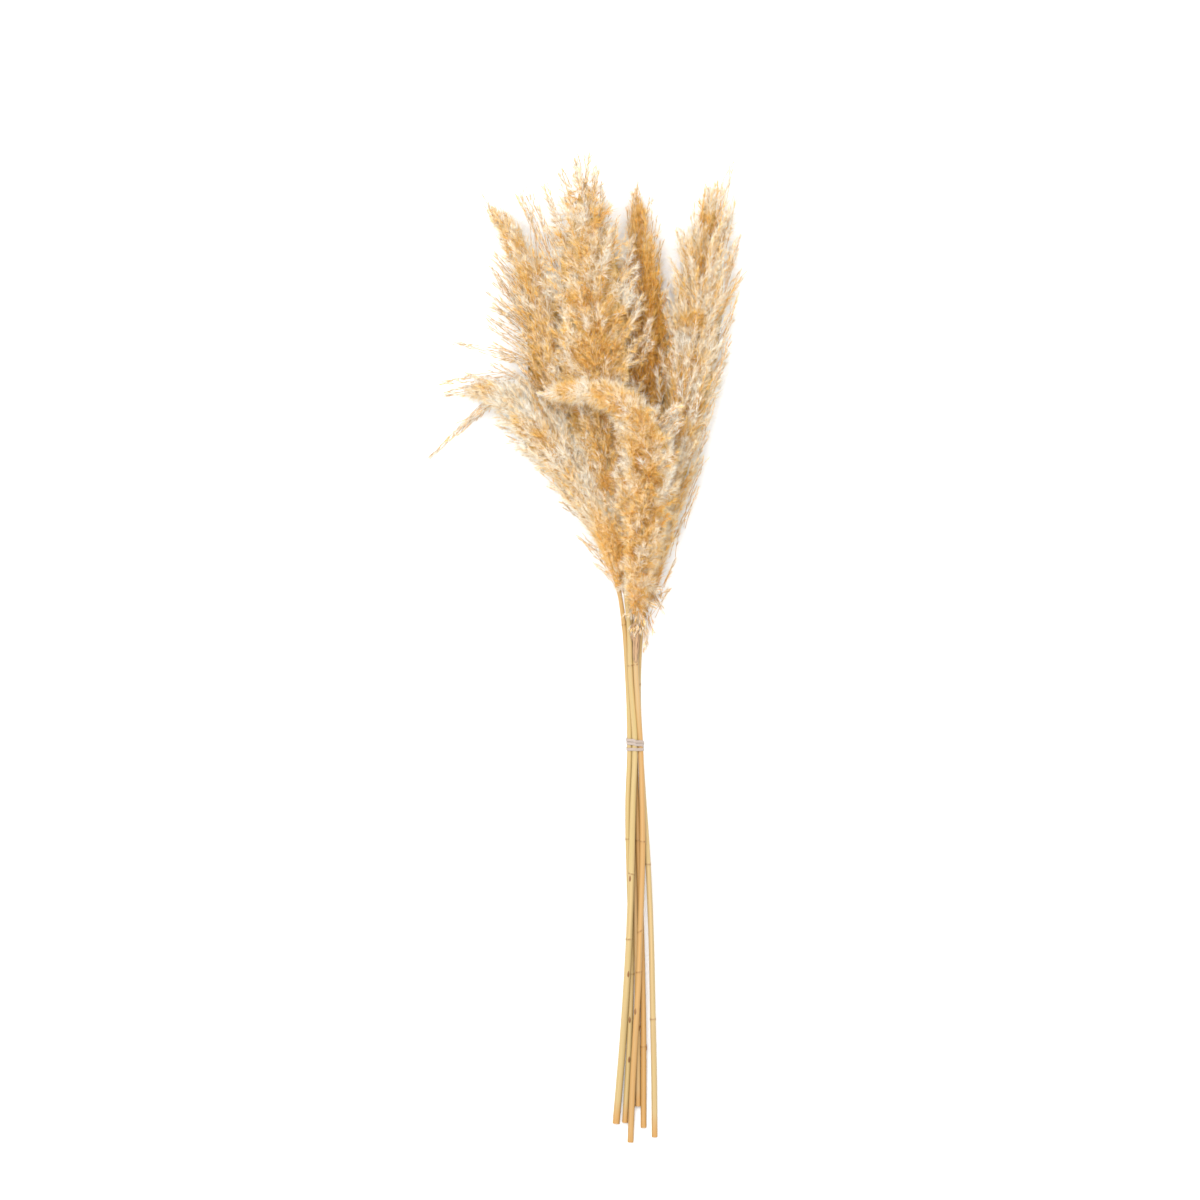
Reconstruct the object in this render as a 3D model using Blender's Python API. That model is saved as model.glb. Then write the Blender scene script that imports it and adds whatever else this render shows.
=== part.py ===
"""A bundle of six dried pampas grass stalks, held by one elastic tie and lying on its side.

Metres, +Z up. The stalks lie along Y, with the cut ends towards -Y and the plume tips
towards +Y. The origin is on the floor, under the middle of the bundle's box. Points are first
given in millimetres from the middle of the tie, with their height above the floor.
"""

import math

import bmesh
import bpy
import numpy as np
from mathutils import Vector

MM = 0.001

# Stems
STEM_SIDES = 10
STEM_STEPS = 22  # pieces along a stem between its swellings
NODE_SWELL = 1.12  # a growth ring's radius over the stem's own
NODE_HALF_LENGTH = 0.0035
TOUCH_GAP = 0.0004  # left between pieces that touch

# Plumes
PLUME_SIDES = 14
PLUME_STEPS = 26
AXIS_SAMPLES = 48  # places along an axis that neighbours are measured from
PLUME_SHARE = 0.92  # of the way to where two plumes would meet
PLUME_GAP = 0.0008  # and then back by this much
LEAST_RADIUS = 0.0008
SPOKE_STEPS = 20  # steps out from the axis in the search for a neighbour
HALVINGS = 10

# Tie
TIE_STRAND_RADIUS = 0.0012
TIE_TURN_HEIGHTS = (0.0044, 0.0006, -0.0046)  # along the stalks, from the tie's middle
TIE_POINTS_PER_TURN = 28
TIE_SLANT_START = 0.18  # share of a turn over which a strand crosses to the next turn
TIE_RETURN_LIFT = 2 * TIE_STRAND_RADIUS + TOUCH_GAP

# Leaf sheath left on one stem, and a curled husk lying on the stems' tops
SHEATH_WALL = 0.0005
SHEATH_HALF_ANGLE = math.radians(105)
SHEATH_STEPS = 8
HUSK_WIDTH = 0.0050
HUSK_THICKNESS = 0.0006
HUSK_STEPS = 7

# Each stalk: the stem's points from its cut end to its neck as x, y, height in mm, its radii
# at both ends in mm, and the distances of its growth rings from the tie in mm; then the
# plume's axis as x, y, height, half width and half depth in mm.
STALKS = {
    "top": {
        "stem": (
            (-19.0, -380.5, 3.3), (-12.3, -300.0, 9.0), (-6.2, -200.0, 19.8),
            (-3.6, -130.0, 24.6), (-2.0, -60.0, 28.6), (0.0, 0.0, 31.2),
            (-3.0, 64.0, 34.6), (-5.8, 117.0, 38.5),
        ),
        "radii": (3.2, 2.2),
        "rings": (-195.0, -129.5, 79.0),
        "plume": (
            (-5.9, 119.0, 38.6, 3.0, 3.0), (-11, 170, 45, 13, 12), (-18, 225, 53, 22, 20),
            (-28, 300, 61, 34, 26), (-32, 370, 66, 42, 29), (-33, 430, 68, 44, 31),
            (-38, 500, 69, 38, 30), (-45, 545, 67, 26, 21), (-52, 589, 62, 4, 4),
        ),
    },
    "left": {
        "stem": (
            (3.0, -363.0, 2.6), (2.7, -300.0, 7.2), (1.6, -200.0, 13.4),
            (-1.9, -100.0, 19.4), (-5.9, 0.0, 25.2), (-4.0, 60.0, 28.0), (-3.0, 117.0, 31.4),
        ),
        "radii": (2.6, 2.2),
        "rings": (-283.0, -60.0),
        "plume": (
            (-3.1, 119.0, 31.5, 2.6, 2.6), (-16, 170, 32, 10, 12), (-32, 215, 33, 17, 20),
            (-62, 295, 35, 28, 31), (-88, 365, 36, 38, 38), (-108, 425, 36, 38, 37),
            (-126, 480, 35, 28, 29), (-140, 520, 34, 15, 16), (-150, 546, 32, 3, 3),
        ),
    },
    "centre": {
        "stem": (
            (8.6, -384.5, 2.7), (8.6, -300.0, 7.5), (6.9, -200.0, 13.6),
            (3.4, -100.0, 19.9), (0.0, 0.0, 25.2), (1.0, 60.0, 28.0), (3.0, 117.0, 31.2),
        ),
        "radii": (2.7, 2.2),
        "rings": (-303.0, -96.0),
        "plume": (
            (3.1, 119.0, 31.3, 2.6, 2.6), (4, 170, 31, 10, 12), (6, 225, 31, 18, 22),
            (8, 300, 31, 26, 32), (8, 375, 31, 34, 36), (8, 440, 31, 33, 34),
            (6, 495, 30, 25, 27), (4, 532, 29, 14, 16), (2, 560, 28, 3, 3),
        ),
    },
    "right": {
        "stem": (
            (19.7, -394.0, 2.7), (19.2, -335.0, 6.0), (18.0, -275.0, 9.6),
            (16.4, -200.0, 14.0), (12.8, -115.0, 19.4), (8.6, -50.0, 23.4),
            (5.9, 0.0, 25.2), (6.2, 60.0, 28.4), (8.4, 117.0, 32.2),
        ),
        "radii": (2.7, 2.2),
        "rings": (-275.5, -120.0, 60.0),
        "plume": (
            (8.5, 119.0, 32.3, 2.6, 2.6), (17, 165, 34, 11, 12), (28, 215, 36, 21, 24),
            (43, 290, 38, 30, 36), (56, 365, 40, 37, 43), (68, 440, 40, 40, 43),
            (79, 500, 39, 31, 34), (89, 545, 38, 17, 20), (98, 578, 36, 3, 3),
        ),
    },
    "drooping": {
        "stem": (
            (-10.0, -379.5, 2.7), (-5.6, -300.0, 7.6), (-3.8, -200.0, 13.6),
            (-6.0, -130.0, 19.0), (-7.2, -60.0, 26.4), (-5.9, 0.0, 31.0),
            (-8.4, 60.0, 34.4), (-11.4, 117.0, 37.8),
        ),
        "radii": (2.7, 2.2),
        "rings": (-230.0, -94.5, 120.0),
        "plume": (
            (-11.5, 119.0, 37.9, 2.6, 2.6), (-22, 165, 43, 11, 12), (-38, 212, 49, 20, 22),
            (-68, 268, 56, 28, 30), (-103, 312, 56, 36, 34), (-140, 340, 46, 31, 28),
            (-172, 346, 34, 19, 18), (-193, 325, 20, 8, 8), (-205, 290, 8, 2.5, 2.5),
        ),
    },
    "front": {
        "stem": (
            (-4.5, -399.0, 5.6), (-2.5, -345.0, 9.4), (0.8, -285.0, 14.2),
            (3.6, -235.0, 16.8), (5.6, -175.0, 20.8), (7.6, -97.0, 25.8),
            (6.9, -45.0, 28.9), (5.9, 0.0, 31.0), (3.2, 45.0, 35.0), (1.6, 117.0, 40.6),
        ),
        "radii": (3.05, 2.2),
        "rings": (-228.0, -97.0, 80.0),
        "plume": (
            (1.6, 119.0, 40.7, 3.0, 3.0), (4, 165, 55, 12, 12), (8, 215, 75, 22, 20),
            (11, 268, 96, 30, 25), (6, 315, 111, 30, 24), (-12, 345, 118, 25, 19),
            (-38, 357, 117, 18, 15), (-64, 357, 110, 10, 9), (-86, 351, 102, 2.5, 2.5),
        ),
    },
}
SHEATH_SPAN = (84.5 * MM, 116.0 * MM)  # from the tie, along the front stem
SHEATH_STEM = "front"
HUSK_PATH = ((-1.6, 104.0, 43.4), (-2.4, 109.0, 44.4), (-2.4, 114.0, 46.4), (-1.8, 117.0, 49.4))


def clear_scene():
    for thing in list(bpy.data.objects):
        bpy.data.objects.remove(thing, do_unlink=True)


def principled(name, colour, roughness):
    material = bpy.data.materials.new(name)
    material.use_nodes = True
    shader = material.node_tree.nodes["Principled BSDF"]
    shader.inputs["Base Color"].default_value = (*colour, 1.0)
    shader.inputs["Roughness"].default_value = roughness
    shader.inputs["Metallic"].default_value = 0.0
    return material


def smooth_through(points, places):
    """Rows read at places 0..1 from a smooth curve through the given rows, by chord length."""
    rows = np.array(points, dtype=float)
    chords = np.linalg.norm(np.diff(rows[:, :3], axis=0), axis=1)
    knots = np.concatenate(([0.0], np.cumsum(chords)))
    slopes = np.gradient(rows, knots, axis=0)
    along = np.asarray(places) * knots[-1]
    span = np.clip(np.searchsorted(knots, along, side="right") - 1, 0, len(rows) - 2)
    width = (knots[span + 1] - knots[span])[:, None]
    s = ((along - knots[span])[:, None]) / width
    return (
        (2 * s**3 - 3 * s**2 + 1) * rows[span]
        + (s**3 - 2 * s**2 + s) * width * slopes[span]
        + (3 * s**2 - 2 * s**3) * rows[span + 1]
        + (s**3 - s**2) * width * slopes[span + 1]
    )


def scaled(rows):
    return [tuple(value * MM for value in row) for row in rows]


def frames_along(centres):
    """The tangent, level side direction and upward direction at each point of a path."""
    tangents = np.gradient(centres, axis=0)
    tangents /= np.linalg.norm(tangents, axis=1)[:, None]
    sides = np.cross(tangents, (0.0, 0.0, 1.0))
    sides /= np.linalg.norm(sides, axis=1)[:, None]
    return tangents, sides, np.cross(sides, tangents)


def add_object(name, data, material):
    thing = bpy.data.objects.new(name, data)
    thing.data.materials.append(material)
    bpy.context.scene.collection.objects.link(thing)
    return thing


def tube(name, points, radii, sides, material, closed=False):
    """A curve object with a round bevel, whose radius follows the points."""
    curve = bpy.data.curves.new(name, "CURVE")
    curve.dimensions = "3D"
    curve.bevel_depth = 1.0
    curve.bevel_resolution = (sides - 4) // 2
    curve.use_fill_caps = not closed
    curve.resolution_u = 1
    spline = curve.splines.new("POLY")
    spline.points.add(len(points) - 1)
    for spot, place, radius in zip(spline.points, points, radii):
        spot.co = (*place, 1.0)
        spot.radius = radius
    spline.use_cyclic_u = closed
    spline.use_smooth = True
    return add_object(name, curve, material)


def lofted(name, rings, material):
    """One closed mesh through rings of equally many points, each drawn out of the last."""
    bm = bmesh.new()
    circle = bmesh.ops.create_circle(bm, segments=len(rings[0]), radius=1.0, cap_ends=True)
    loop = circle["verts"]
    for vertex, place in zip(loop, rings[0]):
        vertex.co = place
    edges = list(bm.edges)
    for ring in rings[1:]:
        drawn = bmesh.ops.extrude_edge_only(bm, edges=edges)["geom"]
        new = {item for item in drawn if isinstance(item, bmesh.types.BMVert)}
        edges = [edge for edge in drawn if isinstance(edge, bmesh.types.BMEdge)]
        edges = [edge for edge in edges if edge.verts[0] in new and edge.verts[1] in new]
        loop = [next(e.other_vert(v) for e in v.link_edges if e.other_vert(v) in new) for v in loop]
        for vertex, place in zip(loop, ring):
            vertex.co = place
    bmesh.ops.contextual_create(bm, geom=edges)
    bmesh.ops.recalc_face_normals(bm, faces=bm.faces)
    mesh = bpy.data.meshes.new(name)
    bm.to_mesh(mesh)
    bm.free()
    mesh.shade_smooth()
    return add_object(name, mesh, material)


def stem_path(stalk):
    """Points and radii along one stem, with three close points at each growth ring."""
    control = np.array(scaled(stalk["stem"]))
    fine = smooth_through(control, np.linspace(0, 1, 400))
    steps = np.linalg.norm(np.diff(fine, axis=0), axis=1)
    reached = np.concatenate(([0.0], np.cumsum(steps)))
    stops = {round(place, 5): 1.0 for place in np.linspace(0, reached[-1], STEM_STEPS + 1)}
    for ring in stalk["rings"]:
        if not control[0][1] < ring * MM < control[-1][1]:
            continue
        middle = float(np.interp(ring * MM, fine[:, 1], reached))
        for offset, swell in ((-1, 1.0), (0, NODE_SWELL), (1, 1.0)):
            place = middle + offset * NODE_HALF_LENGTH
            near = [stop for stop in stops if abs(stop - place) < NODE_HALF_LENGTH * 0.9]
            for stop in near:
                del stops[stop]
            stops[round(place, 5)] = swell
    places = sorted(stops)
    points = [[np.interp(place, reached, fine[:, axis]) for axis in range(3)] for place in places]
    cut_radius, neck_radius = (radius * MM for radius in stalk["radii"])
    radii = [
        stops[place] * (cut_radius + (neck_radius - cut_radius) * place / reached[-1])
        for place in places
    ]
    return np.array(points), np.array(radii)


def make_stem(name, stalk, material):
    points, radii = stem_path(stalk)
    return tube(f"stem_{name}", points, radii, STEM_SIDES, material)


def axis_samples(stalk):
    rows = smooth_through(scaled(stalk["plume"]), np.linspace(0, 1, AXIS_SAMPLES))
    return rows[:, :3], np.maximum(rows[:, 3:5].mean(axis=1), LEAST_RADIUS)


def nearness(place, samples):
    """How far a place is from a plume's axis, in the plume's own widths."""
    centres, sizes = samples
    return float((np.linalg.norm(centres - place, axis=1) / sizes).min())


def room_towards(centre, direction, furthest, own, others):
    """How far a plume may reach from its axis before it would press into a neighbour."""

    def is_own(reach):
        place = centre + direction * reach
        mine = nearness(place, own)
        return all(mine < nearness(place, other) for other in others)

    low, step = 0.0, furthest / PLUME_SHARE / SPOKE_STEPS
    while low < furthest / PLUME_SHARE and is_own(low + step):
        low += step
    if low >= furthest:
        return furthest
    high = low + step
    for _ in range(HALVINGS):
        middle = (low + high) / 2
        low, high = (middle, high) if is_own(middle) else (low, middle)
    return min(furthest, max(low * PLUME_SHARE - PLUME_GAP, LEAST_RADIUS))


def make_plume(name, stalks, samples, material):
    """A long soft body round the plume's axis, flat where neighbours and the floor press it."""
    rows = smooth_through(scaled(stalks[name]["plume"]), np.linspace(0, 1, PLUME_STEPS + 1))
    centres = rows[:, :3]
    _, sides, ups = frames_along(centres)
    others = [samples[other] for other in stalks if other != name]
    rings = []
    for centre, side, up, half_width, half_depth in zip(centres, sides, ups, *rows[:, 3:5].T):
        ring = []
        for corner in range(PLUME_SIDES):
            angle = 2 * math.pi * corner / PLUME_SIDES
            spoke = side * math.cos(angle) * half_width + up * math.sin(angle) * half_depth
            furthest = float(np.linalg.norm(spoke))
            direction = spoke / furthest
            reach = room_towards(centre, direction, furthest, samples[name], others)
            place = centre + direction * reach
            place[2] = max(place[2], 0.0)
            ring.append(Vector(place))
        rings.append(ring)
    return lofted(f"plume_{name}", rings, material)


def tie_outline():
    """Where a taut strand runs round the six stems: a point and an outward direction per angle."""
    circles = []
    for stalk in STALKS.values():
        points, radii = stem_path(stalk)
        circles.append([np.interp(0.0, points[:, 1], column) for column in (*points.T[::2], radii)])

    def at(angle):
        outward = np.array((math.cos(angle), math.sin(angle)))
        x, z, radius = max(circles, key=lambda c: c[0] * outward[0] + c[1] * outward[1] + c[2])
        reach = radius + TIE_STRAND_RADIUS + TOUCH_GAP
        return np.array((x, z)) + outward * reach, outward

    return at


def make_tie(material):
    """One elastic loop wound three times, closed by a strand that runs back under its turns."""
    outline = tie_outline()
    turns = len(TIE_TURN_HEIGHTS)
    points = []
    for step in range(turns * TIE_POINTS_PER_TURN):
        turn, part = divmod(step, TIE_POINTS_PER_TURN)
        share = part / TIE_POINTS_PER_TURN
        following = TIE_TURN_HEIGHTS[(turn + 1) % turns]
        last = turn == turns - 1
        crossing = max(0.0, (share - 1 + TIE_SLANT_START) / TIE_SLANT_START)
        height = TIE_TURN_HEIGHTS[turn] + (following - TIE_TURN_HEIGHTS[turn]) * crossing
        lift = TIE_RETURN_LIFT * math.sin(math.pi * crossing) ** 0.5 if last else 0.0
        place, outward = outline(-math.pi / 2 + 2 * math.pi * share)
        place = place + outward * lift
        points.append((place[0], height, place[1]))
    radii = [TIE_STRAND_RADIUS] * len(points)
    return tube("tie_band", points, radii, 8, material, closed=True)


def make_sheath(material):
    """A dry leaf base wrapped two thirds of the way round the front stem, open underneath."""
    stem_points, stem_radii = stem_path(STALKS[SHEATH_STEM])
    places = np.linspace(*SHEATH_SPAN, SHEATH_STEPS + 1)
    centres = np.array(
        [[np.interp(y, stem_points[:, 1], stem_points[:, axis]) for axis in range(3)] for y in places]
    )
    radii = np.interp(places, stem_points[:, 1], stem_radii) + TOUCH_GAP
    _, sides, ups = frames_along(centres)
    rings = []
    arc = np.linspace(-SHEATH_HALF_ANGLE, SHEATH_HALF_ANGLE, 9)
    for centre, side, up, radius in zip(centres, sides, ups, radii):
        inner = [centre + (up * math.cos(a) + side * math.sin(a)) * radius for a in arc]
        outer = [
            centre + (up * math.cos(a) + side * math.sin(a)) * (radius + SHEATH_WALL) for a in arc[::-1]
        ]
        rings.append([Vector(place) for place in (*inner, *outer)])
    return lofted("leaf_sheath", rings, material)


def make_husk(material):
    """A narrow scrap of husk that curls up off the stems."""
    rows = smooth_through(scaled(HUSK_PATH), np.linspace(0, 1, HUSK_STEPS + 1))
    _, sides, ups = frames_along(rows)
    rings = []
    for place, (centre, side, up) in enumerate(zip(rows, sides, ups)):
        half = HUSK_WIDTH / 2 * (1 - 0.6 * place / HUSK_STEPS)
        lift = HUSK_THICKNESS / 2
        corners = ((-1, -1), (1, -1), (1, 1), (-1, 1))
        rings.append([Vector(centre + side * a * half + up * b * lift) for a, b in corners])
    return lofted("husk_scrap", rings, material)


def rest_on_floor(things):
    """Moves all pieces so that the origin is at the bottom centre of their common box."""
    bpy.context.view_layer.update()
    graph = bpy.context.evaluated_depsgraph_get()
    corners = []
    for thing in things:
        mesh = thing.evaluated_get(graph).to_mesh()
        corners.extend(vertex.co.copy() for vertex in mesh.vertices)
        thing.evaluated_get(graph).to_mesh_clear()
    low = [min(corner[axis] for corner in corners) for axis in range(3)]
    high = [max(corner[axis] for corner in corners) for axis in range(3)]
    for thing in things:
        thing.location = (-(low[0] + high[0]) / 2, -(low[1] + high[1]) / 2, -low[2])
    bpy.context.view_layer.update()


def main():
    clear_scene()
    culm = principled("dry culm", (0.71, 0.47, 0.18), 0.45)
    fluff = principled("plume silk", (0.80, 0.60, 0.33), 0.85)
    husk = principled("dry husk", (0.83, 0.62, 0.44), 0.7)
    elastic = principled("pale elastic", (0.78, 0.70, 0.66), 0.6)
    samples = {name: axis_samples(stalk) for name, stalk in STALKS.items()}
    things = []
    for name, stalk in STALKS.items():
        things.append(make_stem(name, stalk, culm))
        things.append(make_plume(name, STALKS, samples, fluff))
    things.append(make_tie(elastic))
    things.append(make_sheath(husk))
    things.append(make_husk(husk))
    rest_on_floor(things)


main()
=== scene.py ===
"""A tied bundle of dried pampas grass, lying on its side on a pale floor.

Bare stems with growth rings, feathery plumes of branches, spikelets and silk, an elastic tie
and scraps of leaf sheath are built round the fixed construction model. Metres, +Z up, with the
plume tips towards +Y. Points are measured from the middle of the tie, in millimetres, with
their height above the floor.
"""

import math

import bmesh
import bpy
import numpy as np
from bpy.props import FloatProperty, FloatVectorProperty, IntProperty, PointerProperty
from bpy.types import Operator, Panel, PropertyGroup
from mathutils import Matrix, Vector, noise

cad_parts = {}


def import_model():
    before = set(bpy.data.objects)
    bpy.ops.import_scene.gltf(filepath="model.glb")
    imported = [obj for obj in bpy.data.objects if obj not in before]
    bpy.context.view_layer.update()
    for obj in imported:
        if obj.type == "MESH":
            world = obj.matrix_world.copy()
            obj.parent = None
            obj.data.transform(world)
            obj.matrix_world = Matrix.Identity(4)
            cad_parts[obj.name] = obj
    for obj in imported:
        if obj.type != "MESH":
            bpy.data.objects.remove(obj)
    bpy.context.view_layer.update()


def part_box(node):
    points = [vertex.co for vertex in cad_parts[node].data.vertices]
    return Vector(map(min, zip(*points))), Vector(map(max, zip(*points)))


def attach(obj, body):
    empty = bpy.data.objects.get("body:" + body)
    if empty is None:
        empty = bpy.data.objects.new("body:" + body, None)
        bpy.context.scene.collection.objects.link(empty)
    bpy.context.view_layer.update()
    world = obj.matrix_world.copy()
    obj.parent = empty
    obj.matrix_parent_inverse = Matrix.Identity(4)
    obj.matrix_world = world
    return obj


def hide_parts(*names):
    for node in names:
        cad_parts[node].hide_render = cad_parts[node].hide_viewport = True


bl_info = {
    "name": "Pampas Grass Bundle",
    "version": (1, 0, 0),
    "blender": (4, 5, 0),
    "location": "View3D > Sidebar > Pampas",
    "description": "Builds a tied bundle of dried pampas grass round its construction model",
    "category": "Object",
}

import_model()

MM = 0.001
TIE_BELOW_MIDDLE = 5.8 * MM  # from the tie's edge on the cut ends' side to its middle
tie_low, tie_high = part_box("tie_band")
TIE_MIDDLE = np.array(((tie_low[0] + tie_high[0]) / 2, tie_low[1] + TIE_BELOW_MIDDLE, 0.0))
SEED = 7
MAP = "OFBake"  # the name of each new piece's own map

# Each stalk has:
# - stem: its points from cut end to neck, as x, y, height in mm
# - plume: its axis as x, y, height, half width, half depth in mm
# - sprays: stray sprays beyond the outline, as x, y of root and of tip, and height, in mm
# - radii: of the stem at the cut end and at the neck, in mm
# - rings: its growth rings, as distance from the tie and how far the ring slants, in mm
# - buds: as distance from the tie in mm, and the direction in degrees from the right
# - green: how much green cast its straw has; warm: how much tan, at WARM_AT along the stem
# - tints: how pale its silk is, 0 to 1, at even steps from neck to tip
# - full: how full it is; bare: the share of the axis that has no branches at its foot
# - thins_at: the share of the axis from which it thins out
# - neck: the share of its branches that crowd round the neck
# - reach: how long its branches are, as shares of the axis; slope: how far its tufts lean out
# - down: how many fine open hairs a tuft has

TOP = {
    "stem": (
        (-19, -380.5, 3.3), (-12.3, -300, 9), (-6.2, -200, 19.8), (-3.6, -130, 24.6), (-2, -60, 28.6),
        (-0.1, 0, 31.8), (-4.4, 72, 36.2), (-5.8, 117, 38.8),
    ),
    "plume": (
        (-5.9, 119, 38.6, 3, 3), (-11, 170, 45, 12, 12), (-18, 225, 53, 21, 20), (-30, 300, 61, 36, 26),
        (-37, 370, 66, 43, 29), (-42, 430, 68, 45, 31), (-47, 495, 69, 45, 30), (-50, 545, 67, 22, 17),
        (-52, 581, 62, 8, 6),
    ),
    "sprays": (
        (-62, 540, -73, 570, 60), (-55, 560, -60, 584, 62), (-48, 560, -47, 586, 66),
        (-42, 545, -40, 573, 70), (-36, 520, -34, 552, 66), (-32, 505, -27, 537, 68),
        (-26, 490, -19, 522, 70), (-80, 525, -89, 557, 56), (-72, 515, -82, 540, 66),
        (-50, 535, -56, 572, 72), (-12, 470, -6, 498, 64), (-4, 420, 6, 446, 66), (4, 380, 15, 402, 68),
        (2, 400, 14, 420, 72), (-76, 490, -88, 515, 62),
    ),
    "radii": (3.3, 2.5), "rings": ((-195, 0.2), (-129.5, -0.8), (79, 0.3)),
    "buds": ((-134, 115), (-228, 70)), "green": 0.42, "warm": (0.12, 0.1, 0.25, 0.3),
    "tints": (0.4, 0.42, 0.38, 0.46, 0.6, 0.58), "full": 1.02, "bare": 0.07, "thins_at": 0.82,
    "neck": 0.02, "reach": (0.05, 0.2), "slope": (0.15, 1.1), "down": 5,
}
LEFT = {
    "stem": (
        (3, -363, 2.6), (2.7, -300, 7.2), (1.6, -200, 13.4), (-1.9, -100, 19.4), (-5.3, 0, 24.5),
        (-5.9, 72, 26.6), (-3.2, 117, 31.2),
    ),
    "plume": (
        (-3.1, 119, 31.5, 2.6, 2.6), (-12, 170, 32, 8, 12), (-25, 215, 33, 12, 20),
        (-57, 295, 35, 28, 31), (-80, 365, 36, 35, 36), (-91, 425, 36, 28, 35), (-109, 480, 35, 20, 26),
        (-128, 515, 34, 11, 12), (-144, 536, 32, 4, 4),
    ),
    "sprays": (
        (-140, 525, -151, 547, 32), (-97, 512, -114, 545, 44), (-100, 500, -108, 530, 48),
        (-115, 440, -138, 470, 34), (-118, 425, -147, 450, 40), (-113, 400, -146, 427, 34),
        (-135, 391, -177, 402, 30), (-105, 362, -138, 378, 44), (-112, 385, -140, 399, 36),
        (-124, 470, -141, 492, 30), (-128, 455, -144, 475, 36), (-110, 415, -140, 440, 28),
        (-120, 505, -131, 530, 40), (-96, 345, -128, 360, 38), (-133, 512, -143, 533, 26),
        (-108, 430, -137, 458, 36), (-102, 395, -143, 415, 30), (-98, 380, -138, 392, 34),
        (-112, 450, -139, 482, 32), (-102, 410, -132, 442, 40), (-94, 360, -126, 368, 36),
        (-92, 375, -130, 386, 40), (-106, 440, -130, 468, 42), (-90, 492, -118, 546, 46),
        (-86, 500, -106, 550, 50), (-82, 485, -96, 534, 48), (-104, 420, -141, 436, 26),
        (-98, 400, -134, 424, 42), (-110, 462, -134, 500, 36), (-88, 350, -122, 350, 34),
        (-96, 352, -113, 378, 42), (-94, 342, -115, 364, 38), (-98, 362, -119, 384, 40),
        (-90, 346, -110, 361, 46), (-97, 370, -114, 392, 38),
    ),
    "radii": (2.6, 2.3), "rings": ((-283, 0.5), (-60, 0.4)), "buds": ((-284, 60),), "green": 0.2,
    "warm": (0.45, 0.45, 0.5, 0.5), "tints": (0.42, 0.54, 0.46, 0.38, 0.46, 0.66), "full": 0.9,
    "bare": 0.09, "thins_at": 0.84, "neck": 0, "reach": (0.1, 0.28), "slope": (0.08, 0.55), "down": 3,
}
CENTRE = {
    "stem": (
        (8.6, -384.5, 2.7), (8.6, -300, 7.5), (6.9, -200, 13.6), (3.4, -100, 19.9), (0, 0, 25.2),
        (-1, 72, 27), (1.8, 117, 29.8),
    ),
    "plume": (
        (1.9, 119, 30.2, 2.6, 2.6), (4, 170, 31, 9, 12), (6, 225, 31, 16, 22), (8, 300, 31, 26, 32),
        (8, 375, 31, 34, 36), (8, 440, 31, 31, 34), (6, 495, 30, 20, 24), (4, 530, 29, 8, 10),
        (2, 553, 28, 2, 3),
    ),
    "sprays": (
        (3, 535, 2, 560, 30), (10, 508, 15, 541, 34), (14, 490, 20, 520, 30), (-2, 505, -8, 532, 34),
        (20, 470, 27, 502, 30), (0, 520, -1, 550, 36),
    ),
    "radii": (2.7, 2.3), "rings": ((-303, 0.3), (-96, 0.6)), "buds": ((-304, 15),), "green": 0,
    "warm": (0.85, 0.85, 0.85, 0.85), "tints": (0.36, 0.27, 0.08, -0.04, 0.14, 0.32), "full": 0.7,
    "bare": 0.05, "thins_at": 0.84, "neck": 0.06, "reach": (0.1, 0.28), "slope": (0.08, 0.4), "down": 3,
}
RIGHT = {
    "stem": (
        (19.7, -394, 2.7), (19.2, -335, 6), (18, -275, 9.6), (16.4, -200, 14), (12.8, -115, 19.4),
        (8.4, -50, 23), (5.2, 0, 24.5), (3.6, 72, 30.2), (6.6, 117, 32.8),
    ),
    "plume": (
        (6.7, 119, 33, 2.6, 2.6), (16, 165, 34, 9, 12), (25, 215, 36, 15, 22), (39, 290, 38, 25, 34),
        (53, 365, 40, 33, 42), (65, 440, 40, 35, 42), (70, 500, 39, 32, 33), (77, 540, 38, 20, 16),
        (88, 561, 36, 6, 5),
    ),
    "sprays": (
        (90, 552, 96, 578, 36), (84, 532, 87, 557, 44), (74, 528, 72, 554, 42), (84, 500, 92, 526, 38),
        (92, 465, 101, 491, 40), (93, 445, 105, 469, 36), (90, 420, 99, 444, 44),
        (86, 398, 97, 424, 34), (83, 375, 94, 402, 46), (78, 352, 88, 379, 36), (70, 318, 79, 344, 40),
        (62, 282, 71, 309, 36), (57, 258, 66, 284, 34), (52, 232, 61, 254, 30), (39, 202, 48, 224, 32),
        (30, 162, 39, 182, 36), (22, 138, 31, 153, 34), (66, 500, 62, 524, 40), (94, 515, 99, 541, 34),
        (96, 480, 103, 506, 30), (10, 128, 12, 100, 36), (13, 134, 17, 114, 34), (9, 120, 9, 96, 38),
        (16, 150, 27, 134, 36), (19, 156, 30, 146, 34), (11, 132, 5, 108, 38),
    ),
    "radii": (2.7, 2.3), "rings": ((-275.5, 0.2), (-120, -0.5), (60, 0.4)), "buds": (), "green": 0.3,
    "warm": (0.1, 0.1, 0.2, 0.5), "tints": (0.46, 0.5, 0.6, 0.68, 0.6, 0.58), "full": 1, "bare": 0.015,
    "thins_at": 0.84, "neck": 0.08, "reach": (0.1, 0.28), "slope": (0.08, 0.5), "down": 3,
}
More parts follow.
